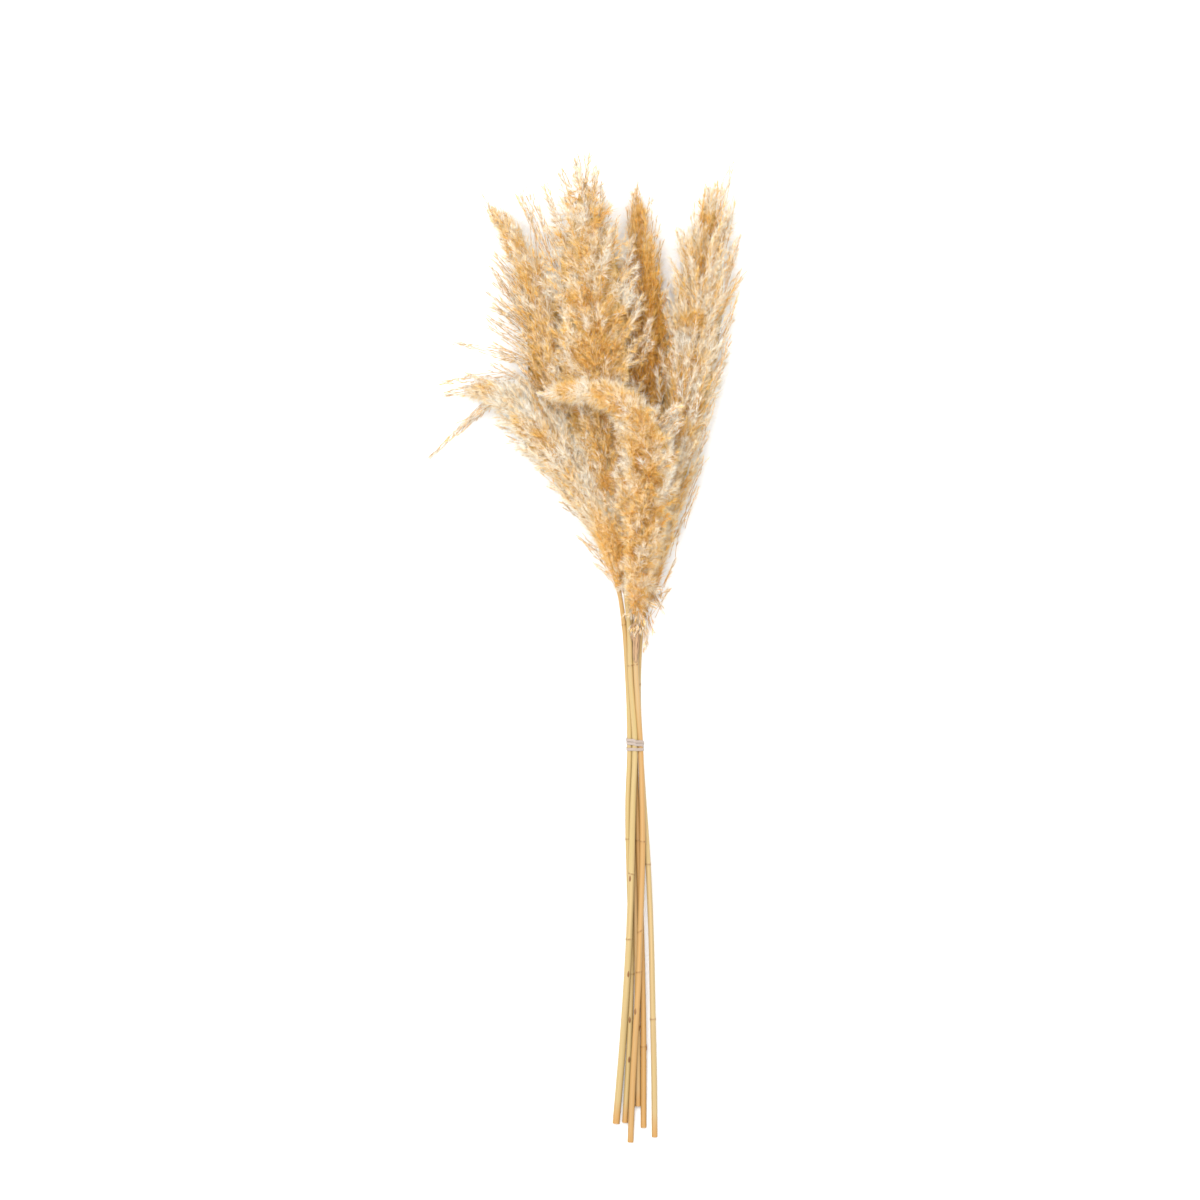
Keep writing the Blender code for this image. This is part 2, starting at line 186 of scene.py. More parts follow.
DROOPING = {
    "stem": (
        (-10, -379.5, 2.7), (-5.6, -300, 7.6), (-3.8, -200, 13.6), (-6, -130, 19), (-7.2, -60, 26.4),
        (-5.3, 0, 29.8), (-7.7, 72, 31.9), (-10.7, 117, 36.4),
    ),
    "plume": (
        (-10.8, 119, 36.6, 2.6, 2.6), (-18, 165, 43, 7, 10), (-29, 212, 49, 12, 17),
        (-56, 266, 56, 23, 26), (-91, 310, 57, 30, 31), (-118, 338, 50, 24, 25),
        (-140, 350, 40, 13, 14), (-157, 353, 30, 5, 6), (-168, 351, 22, 2, 2),
    ),
    "sprays": (
        (-148, 367, -190, 361, 26), (-150, 360, -186, 350, 24), (-135, 343, -172, 322, 20),
        (-160, 332, -204, 289, 10), (-140, 342, -178, 315, 14), (-115, 312, -134, 318, 30),
        (-90, 288, -107, 292, 34), (-75, 262, -94, 276, 36), (-55, 225, -70, 240, 38),
        (-36, 186, -46, 198, 40), (-42, 196, -54, 207, 36), (-130, 358, -165, 368, 34),
        (-104, 300, -124, 306, 40), (-66, 246, -84, 258, 44), (-27, 166, -36, 180, 42),
    ),
    "radii": (2.7, 2.3), "rings": ((-230, -0.3), (-94.5, 0.3), (120, 0.2)),
    "buds": ((-276, 100), (-314, 80)), "green": 0.5, "warm": (0.3, 0.3, 0.3, 0.65),
    "tints": (0.42, 0.48, 0.55, 0.72, 0.74, 0.55), "full": 0.9, "bare": 0.13, "thins_at": 0.8,
    "neck": 0, "reach": (0.12, 0.3), "slope": (0.1, 0.6), "down": 3,
}
FRONT = {
    "stem": (
        (-4.5, -399, 5.6), (-2.5, -345, 9.4), (0.8, -285, 14.2), (3.6, -235, 16.8), (5.6, -175, 20.8),
        (7.6, -97, 25.8), (6.9, -45, 28.9), (5.3, 0, 30.2), (2.6, 45, 35.4), (1, 72, 37.8),
        (1.2, 117, 41),
    ),
    "plume": (
        (1.6, 119, 40.7, 3, 3), (4, 165, 55, 11, 12), (8, 215, 75, 21, 20), (12, 262, 96, 28, 25),
        (10, 306, 111, 25, 23), (-8, 336, 117, 16, 16), (-36, 350, 116, 10, 11),
        (-62, 352, 110, 7.5, 7.5), (-86, 351, 102, 2.5, 2.5),
    ),
    "sprays": (
        (26, 322, 42, 337, 112), (26, 306, 43, 320, 104), (18, 285, 34, 296, 108),
        (22, 314, 40, 326, 96), (14, 262, 33, 275, 100), (-70, 350, -90, 353, 104),
        (16, 240, 32, 254, 88), (-20, 235, -34, 248, 76), (3, 133, 7, 112, 46), (1, 130, -2, 114, 46),
        (5, 140, 10, 118, 50), (-2, 140, -8, 128, 50), (6, 150, 16, 138, 52), (-6, 160, -16, 156, 48),
        (8, 160, 22, 154, 50),
    ),
    "radii": (2.8, 2.5), "rings": ((-228, 0.6), (-97, -0.2), (80, 0.3), (-187, 1.6)),
    "buds": ((-268, 120),), "green": 0.05, "warm": (0.72, 0.75, 0.4, 0.4),
    "tints": (0.5, 0.45, 0.43, 0.49, 0.49, 0.67), "full": 0.85, "bare": 0.03, "thins_at": 0.92,
    "neck": 0.08, "reach": (0.05, 0.2), "slope": (0.15, 1.2), "down": 5,
}
STALKS = {
    "top": TOP, "left": LEFT, "centre": CENTRE, "right": RIGHT, "drooping": DROOPING, "front": FRONT,
}

FLOOR_CLEARANCE = 0.4 * MM  # silk keeps this far above the floor
GOLDEN_ANGLE = math.pi * (3 - math.sqrt(5))


# --- Settings ---


def colour_setting(name, description, default):
    """A colour that a user can change."""
    return FloatVectorProperty(
        name=name, description=description, subtype="COLOR", size=3, min=0, max=1, default=default
    )


def length_setting(name, description, default, least):
    """A length in metres that a user can change."""
    return FloatProperty(
        name=name, description=description, subtype="DISTANCE", unit="LENGTH",
        min=least, default=default,
    )


def number_setting(name, description, default, least, most=10000.0):
    """A plain number that a user can change."""
    return FloatProperty(name=name, description=description, min=least, max=most, default=default)


def count_setting(name, description, default, least, most):
    """A whole number that a user can change."""
    return IntProperty(name=name, description=description, min=least, max=most, default=default)


class StageSettings(PropertyGroup):
    floor_colour: colour_setting("Floor colour", "Colour of the plain floor", (0.86, 0.86, 0.86))
    view_width: length_setting("View width", "Width of floor that the camera sees", 1.2, 0.3)
    view_offset: FloatVectorProperty(
        name="View offset", description="Where the camera looks, from the tie's middle",
        subtype="TRANSLATION", unit="LENGTH", size=2, default=(-0.035, 0.1445),
    )
    focal_length: FloatProperty(
        name="Focal length", description="Length of the camera's lens in mm",
        subtype="DISTANCE_CAMERA", min=20, default=400,
    )
    room_light: number_setting("Room light", "Strength of the even light from all sides", 1.1, 0)
    key_light: FloatProperty(
        name="Key light", description="Power of the large soft lamp",
        subtype="POWER", unit="POWER", min=0, default=100.0,
    )


class StemSettings(PropertyGroup):
    sides: count_setting("Sides", "Faces round a stem", 20, 8, 64)
    fullness: number_setting("Fullness", "A stem's radius over its construction radius", 1.09, 0.5, 1.5)
    ring_swell: number_setting("Ring swell", "A growth ring's radius over the stem's own", 1.1, 1, 1.5)
    straw_colour: colour_setting("Straw", "Main colour of the dry stems", (0.43, 0.3, 0.145))
    green_colour: colour_setting("Green tint", "Where a stem dried while still green", (0.4, 0.3, 0.12))
    tan_colour: colour_setting("Tan", "Warm colour of some stems and of the feet", (0.4, 0.215, 0.065))
    ring_colour: colour_setting("Ring", "Dark line at each growth ring", (0.2, 0.09, 0.03))


class PlumeSettings(PropertyGroup):
    branches: count_setting("Branches", "Side branches on each plume", 400, 5, 800)
    tufts: count_setting("Tufts", "Tufts of silk on each plume", 7600, 50, 12000)
    hairs: count_setting("Hairs", "Hairs in a tuft", 6, 1, 40)
    silk_length: length_setting("Silk length", "Length of the longest hairs", 0.0125, 0.002)
    silk_radius: length_setting("Silk radius", "Radius of a hair at its thickest", 0.00019, 0.00002)
    spikelet_length: length_setting("Spikelet length", "Length of a spikelet", 0.0085, 0.002)
    spikelet_radius: length_setting("Spikelet radius", "Its radius at its thickest", 0.00045, 0.0001)
    cream_colour: colour_setting("Cream", "Palest silk", (0.91, 0.87, 0.77))
    gold_colour: colour_setting("Gold", "Golden silk", (0.9, 0.585, 0.175))
    brown_colour: colour_setting("Brown", "Darkest silk and spikelets", (0.77, 0.37, 0.06))
    dry_colour: colour_setting("Dry", "Weathered spikelets on the stray sprays", (0.42, 0.31, 0.19))


class TieSettings(PropertyGroup):
    width: length_setting("Width", "Width of the elastic band", 0.003, 0.0005)
    thickness: length_setting("Thickness", "Thickness of the elastic band", 0.0011, 0.0003)
    elastic_colour: colour_setting("Colour", "Colour of the elastic", (0.37, 0.32, 0.295))


class HuskSettings(PropertyGroup):
    wall: length_setting("Wall", "Thickness of the dry leaf", 0.0003, 0.0001)
    leaf_colour: colour_setting("Colour", "Colour of the dry leaf", (0.46, 0.26, 0.145))


# --- Shader writing ---


class Value:
    """A shader socket that arithmetic can be written on."""

    def __init__(self, finish, socket):
        self.finish = finish
        self.socket = socket

    def _maths(self, operation, first, second):
        return self.finish.node("ShaderNodeMath", {"operation": operation}, {0: first, 1: second})

    def __add__(self, other):
        return self._maths("ADD", self, other)

    def __sub__(self, other):
        return self._maths("SUBTRACT", self, other)

    def __mul__(self, other):
        return self._maths("MULTIPLY", self, other)


class Finish:
    """A material that is written as expressions on its sockets."""

    def __init__(self, name, roughness, sheen=0.0, specular=0.5):
        self.material = bpy.data.materials.new(name)
        self.material.use_nodes = True
        self.tree = self.material.node_tree
        self.shader = self.tree.nodes["Principled BSDF"]
        self.shader.inputs["Roughness"].default_value = roughness
        self.shader.inputs["Sheen Weight"].default_value = sheen
        self.shader.inputs["Specular IOR Level"].default_value = specular

    def node(self, kind, settings=None, inputs=None, output=0):
        """Adds a node, makes its settings, fills its sockets and returns one output."""
        made = self.tree.nodes.new(kind)
        for name, value in (settings or {}).items():
            if name == "stops":
                self._stops(made.color_ramp, value)
            else:
                setattr(made, name, value)
        for name, value in (inputs or {}).items():
            if isinstance(value, Value):
                self.tree.links.new(value.socket, made.inputs[name])
            else:
                made.inputs[name].default_value = value
        return Value(self, made.outputs[output])

    @staticmethod
    def _stops(ramp, stops):
        while len(ramp.elements) < len(stops):
            ramp.elements.new(0.5)
        for element, (place, colour) in zip(ramp.elements, stops):
            element.position = place
            element.color = (*colour, 1.0)

    def output(self, value, name):
        """Another output of the node that a value comes from."""
        return Value(self, value.socket.node.outputs[name])

    def mix(self, share, first, second, blend="MIX"):
        """A colour between two colours, or one blended with the other."""
        return self.node(
            "ShaderNodeMix", {"data_type": "RGBA", "blend_type": blend},
            {0: share, 6: rgba(first), 7: rgba(second)}, 2,
        )

    def shade(self, plain, value):
        """A colour made darker or lighter by a grey value."""
        grey = self.node("ShaderNodeCombineColor", None, {0: value, 1: value, 2: value})
        return self.mix(1.0, plain, grey, "MULTIPLY")

    def stretch(self, value, low, high):
        """A value moved so that low becomes 0 and high becomes 1, and kept between them."""
        return self.node("ShaderNodeMapRange", None, {0: value, 1: low, 2: high})

    def noise(self, vector, scale, detail=2.0, roughness=0.5):
        return self.node(
            "ShaderNodeTexNoise", None,
            {"Vector": vector, "Scale": scale, "Detail": detail, "Roughness": roughness},
        )

    def place(self):
        """The place on the piece, in metres."""
        return self.node("ShaderNodeTexCoord", None, None, 3)

    def map_place(self, scale=(1, 1, 1)):
        """The place on the piece's own map, stretched."""
        uv = self.node("ShaderNodeUVMap", {"uv_map": MAP})
        return self.node("ShaderNodeMapping", None, {"Vector": uv, "Scale": scale})

    def streaks(self, across, along, detail=2.0, roughness=0.5):
        """Noise on the piece's own map, so many cells round it and along it."""
        return self.noise(self.map_place((across, along, 1)), 1.0, detail, roughness)

    def stored(self, name):
        """A value that the mesh holds at each of its points."""
        return self.node("ShaderNodeAttribute", {"attribute_name": name}, None, 2)

    def ramp(self, value, stops):
        """A colour read from a ramp with the given stops."""
        return self.node("ShaderNodeValToRGB", {"stops": stops}, {0: value})

    def feed(self, socket, value):
        self.tree.links.new(value.socket, self.shader.inputs[socket])

    def bump(self, height, distance, strength=1.0):
        sockets = {"Height": height, "Distance": distance, "Strength": strength}
        self.feed("Normal", self.node("ShaderNodeBump", None, sockets))


def rgba(plain):
    """A colour with an alpha, unless it is a socket already."""
    return plain if isinstance(plain, Value) else (*plain, 1.0)


PITH_DARK, PITH_PALE = (0.42, 0.31, 0.17), (0.66, 0.55, 0.38)
# Darker brown for random patches of painted shade on the elastic, standing in for the shadows between
# its turns.
ELASTIC_PAINTED_SHADE = (0.28, 0.2, 0.14)
LEAF_PALE = (0.5, 0.34, 0.18)


def stem_finish(settings):
    """Dry straw with lengthwise fibres, green and tan casts, a warm foot, growth rings and partly
    painted shade.
    """
    finish = Finish("straw stem", roughness=0.45, specular=0.3)
    along = finish.node("ShaderNodeSeparateXYZ", None, {0: finish.map_place()}, 1)
    fibres = finish.streaks(60, 9, 4.0, 0.6)
    streaks = finish.streaks(9, 5, 3.0, 0.6)
    blotches = finish.streaks(2.2, 13, 3.0)
    green, warm, ring = (finish.stored(name) for name in ("green", "warm", "ring"))
    greened = finish.stretch(blotches + green, 0.6, 1.15)
    straw = finish.mix(greened, settings.straw_colour, settings.green_colour)
    # Tan streaks: partly the straw's own colour and partly painted shade standing for the stems' darker
    # sides.
    warmed = finish.stretch(streaks * 0.9 + warm, 0.65, 1.35)
    foot = finish.stretch(along + blotches * 0.04, 0.05, 0.02)
    tan_share = finish.node("ShaderNodeMath", {"operation": "MAXIMUM"}, {0: warmed, 1: foot})
    tanned = finish.mix(tan_share, straw, settings.tan_colour)
    # The streaks also darken the straw in lengthwise bands: partly its own streaks, partly painted
    # shade of the stems' sides.
    fibred_with_painted_shade = finish.shade(tanned, fibres * 0.4 + streaks * 0.6 + 0.49)
    worn_ring = ring * finish.stretch(streaks, 0.3, 0.62)
    finish.feed("Base Color", finish.mix(worn_ring, fibred_with_painted_shade, settings.ring_colour))
    finish.feed("Roughness", fibres * 0.3 + 0.3)
    finish.bump(fibres, 0.00025, 0.6)
    return finish.material


def pith_finish():
    """The cut face: pale grey-tan pith, speckled with darker grains."""
    finish = Finish("cut pith", roughness=0.9, specular=0.1)
    grain = finish.noise(finish.place(), 1400.0, 3.0)
    finish.feed("Base Color", finish.mix(grain, PITH_DARK, PITH_PALE))
    finish.bump(grain, 0.0004)
    return finish.material


def silk_stops(settings):
    """Silk's colours from brown through gold to cream."""
    colours = (settings.brown_colour, settings.gold_colour, settings.cream_colour)
    return tuple(zip((0.0, 0.42, 0.92), colours))


def silk_finish(name, paling, roughness, stops):
    """Silk whose map runs from brown to cream across, and from root to paler tip upwards."""
    finish = Finish(name, roughness=roughness, specular=0.2)
    tint = finish.node("ShaderNodeSeparateXYZ", None, {0: finish.map_place()})
    along = finish.output(tint, "Y")
    grain = finish.streaks(40, 6)
    shift = (along - 0.5) * paling + grain * 0.1 - 0.05
    finish.feed("Base Color", finish.ramp(tint + shift, stops))
    return finish.material


def core_finish_with_painted_shade(stops):
    """Matted silk in the middle of a plume, in lengthwise strands of brown, gold and cream, with
    painted shade.
    """
    finish = Finish("matted silk with painted shade", roughness=0.9, specular=0.1)
    strands = finish.streaks(70, 26, 3.0, 0.6)
    # Painted shade: the paleness is set low, so the layer is browner than the silk round it, like the
    # plume's shaded inside.
    paleness = finish.stored("tint") * 0.7 + strands * 0.9 + finish.streaks(7, 18) * 0.6 - 0.78
    # Painted shade: the layer's colour is darkened to between half and nine tenths of its own.
    shade = finish.stretch(strands, 0.15, 0.6) * 0.4 + 0.5
    finish.feed("Base Color", finish.shade(finish.ramp(paleness, stops), shade))
    finish.bump(strands, 0.003)
    return finish.material


def elastic_finish(settings):
    """Pale elastic covered with fine lengthwise threads, with patches of painted shade."""
    finish = Finish("pale elastic", roughness=0.6, sheen=0.3, specular=0.3)
    threads = finish.streaks(14, 90, 3.0)
    # Painted shade: darker brown patches at random, standing in for the shadows between the band's
    # turns.
    patched_with_painted_shade = finish.mix(finish.streaks(3, 24), settings.elastic_colour, ELASTIC_PAINTED_SHADE)
    finish.feed("Base Color", finish.shade(patched_with_painted_shade, threads * 0.8 + 0.6))
    finish.bump(threads, 0.0003, 0.7)
    return finish.material


def husk_finish(settings):
    """Thin papery leaf with pinkish streaks along it."""
    finish = Finish("papery husk", roughness=0.7, sheen=0.1, specular=0.2)
    veins = finish.streaks(26, 3, 3.0)
    patched = finish.mix(finish.streaks(2, 3), settings.leaf_colour, LEAF_PALE)
    shade = finish.stretch(veins, 0.36, 0.62) * 0.65 + 0.35
    finish.feed("Base Color", finish.shade(patched, shade))
    finish.bump(veins, 0.0003, 0.7)
    return finish.material


# --- Shapes ---


def world(rows):
    """Rows in mm from the tie's middle, as metres in the frame. Columns after the third are sizes."""
    made = np.array(rows, dtype=float) * MM
    made[:, :3] += TIE_MIDDLE
    return made


def smooth_through(rows, places):
    """Rows read at places 0..1 from a smooth curve through the given rows, by chord length."""
    chords = np.linalg.norm(np.diff(rows[:, :3], axis=0), axis=1)
    knots = np.concatenate(([0.0], np.cumsum(chords)))
    slopes = np.gradient(rows, knots, axis=0)
    along = np.clip(places, 0, 1) * knots[-1]
    span = np.clip(np.searchsorted(knots, along, side="right") - 1, 0, len(rows) - 2)
    width = (knots[span + 1] - knots[span])[:, None]
    s = (along - knots[span])[:, None] / width
    return (
        (2 * s**3 - 3 * s**2 + 1) * rows[span]
        + (s**3 - 2 * s**2 + s) * width * slopes[span]
        + (3 * s**2 - 2 * s**3) * rows[span + 1]
        + (s**3 - s**2) * width * slopes[span + 1]
    )


def unit(vectors):
    """The vectors at length 1."""
    return vectors / np.maximum(np.linalg.norm(vectors, axis=-1, keepdims=True), 1e-12)


def lifted(places, lowest):
    """The places, none of them below a height above the floor."""
    places[..., 2] = np.maximum(places[..., 2], lowest)
    return places


def circle_angles(count):
    """Even steps round a circle."""
    return np.linspace(0, 2 * math.pi, count, endpoint=False)


def frames_along(centres):
    """The tangent, level side and upward direction at each point of one path or many."""
    tangents = unit(np.gradient(centres, axis=-2))
    sides = unit(np.cross(tangents, (0.0, 0.0, 1.0)))
    return tangents, sides, np.cross(sides, tangents)


def drawn_tube(rings, closed=False):
    """A bmesh tube through rings of equally many points, each drawn out of the last, with its map.

    Returns the bmesh and its end faces. On the map U runs round the tube and V along it.
    """
    bm = bmesh.new()
    sides = len(rings[0])
    circle = bmesh.ops.create_circle(bm, segments=sides, radius=1.0, cap_ends=False)
    loop = first = circle["verts"]
    spot = {vertex: (0, side) for side, vertex in enumerate(loop)}
    edges = list(bm.edges)
    for vertex, place in zip(loop, rings[0]):
        vertex.co = place
    for row, ring in enumerate(rings[1:], 1):
        drawn = bmesh.ops.extrude_edge_only(bm, edges=edges)["geom"]
        new = {item for item in drawn if isinstance(item, bmesh.types.BMVert)}
        edges = [item for item in drawn if isinstance(item, bmesh.types.BMEdge)]
        edges = [edge for edge in edges if edge.verts[0] in new and edge.verts[1] in new]
        loop = [next(e.other_vert(v) for e in v.link_edges if e.other_vert(v) in new) for v in loop]
        for side, (vertex, place) in enumerate(zip(loop, ring)):
            vertex.co = place
            spot[vertex] = (row, side)
    layer = bm.loops.layers.uv.new(MAP)
    for face in bm.faces:
        wraps = max(spot[v][1] for v in face.verts) - min(spot[v][1] for v in face.verts) > 1
        for corner in face.loops:
            row, side = spot[corner.vert]
            round_share = (sides if wraps and side == 0 else side) / sides
            corner[layer].uv = (round_share, row / (len(rings) - 1))
    ends = []
    if closed:
        pairs = {last: start for last, start in zip(loop, first)}
        bmesh.ops.weld_verts(bm, targetmap=pairs)
    else:
        for ring in (first, loop):
            made = bmesh.ops.contextual_create(bm, geom=ring)["faces"][0]
            for corner in made.loops:
                corner[layer].uv = (spot[corner.vert][1] / sides, spot[corner.vert][0] and 1.0)
            ends.append(made)
    bmesh.ops.recalc_face_normals(bm, faces=bm.faces)
    return bm, ends


def finished_mesh(bm, name, smooth=True):
    """The bmesh as a mesh."""
    mesh = bpy.data.meshes.new(name)
    bm.to_mesh(mesh)
    bm.free()
    if smooth:
        mesh.shade_smooth()
    return mesh


def add_piece(mesh, materials, slot, *nodes):
    """Makes a mesh's piece, which rides on the bundle and stands for its construction nodes."""
    piece = bpy.data.objects.new(mesh.name, mesh)
    for material in materials:
        mesh.materials.append(material)
    bpy.context.scene.collection.objects.link(piece)
    if nodes:
        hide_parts(*nodes)
    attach(piece, "root")


# --- Stems ---

NECK = 117.0  # mm from the tie to where the plumes start
WARM_AT = (-400.0, 0.0, 40.0, 117.0)  # mm from the tie
STEM_STEP = 4.0 * MM
RING_STEP = 0.7 * MM  # between the rows of faces across a growth ring
RING_ROWS = 5
RING_LINE = 0.8 * MM  # half the length of the dark line
RING_WIDTH = 1.5 * MM
BUD_LENGTH = 3.4 * MM
BUD_WIDTH = 1.2 * MM
BUD_DARKNESS = 3.0  # where a growth ring has 1
BUD_DEPTH = 0.7 * MM
PITH_INSET = 0.28  # rim width as a share of the radius
PITH_DEPTH = 1.2 * MM
CUT_FACE = 0.05 * MM  # faces no further up the stem than this are pith
RIB_COUNT = 9
RIB_HEIGHT = 0.012  # as a share of the radius
STEM_POINTS = 900  # at which a stem's path is read
TOP_TAPER = 0.35  # radius at the stem's end inside its plume, over that at the neck
RING_FADE = 1.4  # where a growth ring's dark line has faded, in RING_LINE
REST_GAP = 1.02  # height of the lowest centre over the radius there
BUD_TAPER = 0.45
BUD_SUNK = 0.96  # distance of a bud from the stem's centre over the radius
SHARP = math.radians(50)  # edges sharper than this aren't smoothed


def stem_rows(stalk, settings):
    """Centres, radii and ring strength along one stem, with close rows at growth rings."""
    inside = tuple(row[:3] for row in stalk["plume"][1:4])
    fine = smooth_through(world(stalk["stem"] + inside), np.linspace(0, 1, STEM_POINTS))
    reached = np.concatenate(([0.0], np.cumsum(np.linalg.norm(np.diff(fine, axis=0), axis=1))))
    rings = np.array(stalk["rings"]) * MM
    ring_at = np.interp(rings[:, 0] + TIE_MIDDLE[1], fine[:, 1], reached)
    plain = np.arange(0, reached[-1], STEM_STEP)
    reach = RING_STEP * (RING_ROWS + 1)
    plain = [stop for stop in plain if all(abs(stop - ring) > reach for ring in ring_at)]
    close = [ring + RING_STEP * k for ring in ring_at for k in range(-RING_ROWS, RING_ROWS + 1)]
    stops = np.array(sorted((*plain, *close, reached[-1])))
    centres = np.stack([np.interp(stops, reached, column) for column in fine.T], 1)
    cut, neck = (radius * MM * settings.fullness for radius in stalk["radii"])
    neck_at = np.interp(TIE_MIDDLE[1] + NECK * MM, fine[:, 1], reached)
    radii = np.interp(stops, (0, neck_at, reached[-1]), (cut, neck, neck * TOP_TAPER))
    strength = np.zeros((len(stops), settings.sides))
    for ring, slant in zip(ring_at, rings[:, 1]):
        away = np.abs(stops[:, None] - ring - slant * np.cos(circle_angles(settings.sides)))
        swell = np.exp(-((away.mean(1) / RING_WIDTH) ** 2))
        radii = radii * (1 + (settings.ring_swell - 1) * swell)
        strength = np.maximum(strength, np.clip(RING_FADE - away / RING_LINE, 0, 1))
    return lifted(centres, radii * REST_GAP + FLOOR_CLEARANCE), radii, strength


def warmth(stalk, y):
    """How tan a stem is at a place along the bundle."""
    return float(np.interp((y - TIE_MIDDLE[1]) / MM, WARM_AT, stalk["warm"]))


def add_bud(bm, place, along, outward, layers):
    """A dark scale that lies along the stem at a growth ring."""
    across = along.cross(outward)
    bud = bmesh.ops.create_uvsphere(bm, u_segments=8, v_segments=6, radius=1.0)["verts"]
    for vertex in bud:
        point = vertex.co.copy()
        taper = 1 - BUD_TAPER * max(point.z, 0.0)
        vertex.co = (
            place + along * point.z * BUD_LENGTH
            + (across * point.x * BUD_WIDTH + outward * point.y * BUD_DEPTH) * taper
        )
        for layer, value in layers.items():
            vertex[layer] = value


def make_stem(name, stalk, settings, materials):
    """One stem: a ribbed tube with growth rings, buds and a cut end with sunken pith."""
    centres, radii, strength = stem_rows(stalk, settings)
    _, side, up = frames_along(centres)
    angles = circle_angles(settings.sides)
    ribs = 1 + RIB_HEIGHT * np.cos(angles * RIB_COUNT)
    spokes = side[:, None] * np.cos(angles)[:, None] + up[:, None] * np.sin(angles)[:, None]
    bm, ends = drawn_tube(centres[:, None] + spokes * (radii[:, None] * ribs)[..., None])
    layers = {key: bm.verts.layers.float.new(key) for key in ("ring", "green", "warm")}
    bm.verts.ensure_lookup_table()
    for vertex, dark in zip(bm.verts, strength.reshape(-1)):
        vertex[layers["ring"]] = dark
        vertex[layers["green"]] = stalk["green"]
        vertex[layers["warm"]] = warmth(stalk, vertex.co.y)
    foot = ends[0]
    bmesh.ops.inset_region(bm, faces=[foot], thickness=radii[0] * PITH_INSET, depth=0.0)
    hollow = bmesh.ops.extrude_discrete_faces(bm, faces=[foot])["faces"]
    inward = -hollow[0].normal * PITH_DEPTH
    bmesh.ops.translate(bm, verts=hollow[0].verts, vec=inward)
    bmesh.ops.bridge_loops(bm, edges=[e for e in bm.edges if len(e.link_faces) == 1])
    for face in bm.faces:
        face.material_index = int(face.calc_center_median().y < centres[0][1] + CUT_FACE)
    hollow[0].material_index = 1
    for distance, degrees in stalk["buds"]:
        row = int(np.argmin(np.abs(centres[:, 1] - TIE_MIDDLE[1] - distance * MM)))
        turn = math.radians(degrees)
        outward = Vector(side[row] * math.cos(turn) + up[row] * math.sin(turn))
        along = Vector(centres[row + 1] - centres[row]).normalized()
        place = Vector(centres[row]) + outward * radii[row] * BUD_SUNK
        shades = (BUD_DARKNESS, stalk["green"], warmth(stalk, place.y))
        add_bud(bm, place, along, outward, dict(zip(layers.values(), shades)))
    bmesh.ops.recalc_face_normals(bm, faces=bm.faces)
    mesh = finished_mesh(bm, f"stem_{name}_straw")
    mesh.set_sharp_from_angle(angle=SHARP)
    add_piece(mesh, materials, "stem", f"stem_{name}")


# --- Plumes ---

MAP_WIDTH = 0.012  # how far round its tint a copy's map reaches
AXIS_POINTS = 101  # at which a plume's axis is read
BRANCH_ROWS = 7
LAST_ROOT = 0.96  # share of the axis below which all branches grow
THINNED = 0.75  # share of the branches past thins_at that grow lower down instead
CROWD_LENGTH, CROWD_START = 0.12, -0.03  # of the crowd at the neck, as shares of the axis
OUTLINE = 1.05  # how far branches reach, over the plume's half width and half depth
SHORTER_UP = 0.4  # how much less the last branches reach than the first
FOOT, FOOT_REACH = 0.1, 0.7  # the share of the axis whose branches reach less, and their reach
TIPS_END = (0.95, 1.0)  # shares of the axis that no branch passes
TURN_SPREAD = 0.4  # radians
OUTNESS, OUTNESS_POWER = (0.1, 1.0), 0.4  # how far out branches end, from even draws
KNEE = 0.55  # how far out a branch's knee is, over its tip
KNEE_AT = 0.5  # how far back from its tip, over its reach
KNEE_JITTER = 3.0 * MM
LIE_HEIGHT = 2.0 * MM  # branches lie no lower than this
RACHIS_RADIUS = 1.1 * MM
RACHIS_SPAN = (0.2, 0.97)  # shares of the axis
TWIG_RADIUS = 0.2 * MM
TWIG_TAPER = 0.25  # radius at the tip over that at the root
TWIG_TINT = (0.68, 0.12)  # middle and spread
SPRAY_STRANDS = 4  # side branches in each stray spray
SPRAY_JITTER = 1.8  # mm
SPRAY_START = (0.2, 0.8)  # how far behind a spray's root its strands start, over its length
SPRAY_CROWD = 0.7  # below 1, a spray's tufts crowd to its tip
SPRAY_RADIUS = 0.36 * MM
SPRAY_TWIG_TINT = 0.05
SPRAY_TUFTS = 0.6  # share of its tufts that a stray spray keeps
SPRAY_SILK = 0.6  # length of its silk against a plume's
SPRAY_LEAN = 0.6  # how far its tufts lean out against a plume's
SPRAY_PALER = 0.4
BARE_TWIG = 0.1  # share of a branch that has no tufts at its root
TUFT_LEAN = (0.1, 1.2)  # how far tufts lean away from the axis, where 1 is as far as at random
LEAN_LOSS = 0.3  # how much less a leaning tuft follows its branch
BRANCH_TINT, TUFT_TINT, HAIR_TINT = 0.09, 0.08, 0.1  # spread of the tint between them
OUTER_PALER = 0.6  # how much paler silk is at the outline than in the middle
PATCHES, PATCH_PALER = np.array((75.0, 48.0, 60.0)), 0.5  # patches of paler silk per metre
NECK_RESTLESS = 0.25  # share of the axis by the neck where tufts differ most in colour
NECK_TINT = (-0.1, 0.45)  # middle and spread of their shift
NECK_BARE = 0.16  # share of the axis by the neck where few tufts grow
NECK_TUFTS = 0.25  # share of the tufts that grow right at the neck
SPIKELET_SHARE = 0.4  # share of the tufts that have a spikelet
SPIKELET_DARKER, STRAY_SPIKELET_DARKER = 0.18, 1.0  # than the silk
SPIKELET_LENGTHS, SPIKELET_RADII, SPIKELET_BEND = (0.7, 1.15), (0.7, 1.2), 0.08
HAIR_LENGTHS, HAIR_RADII, HAIR_BEND = (0.5, 1.1), (0.7, 1.15), 0.17
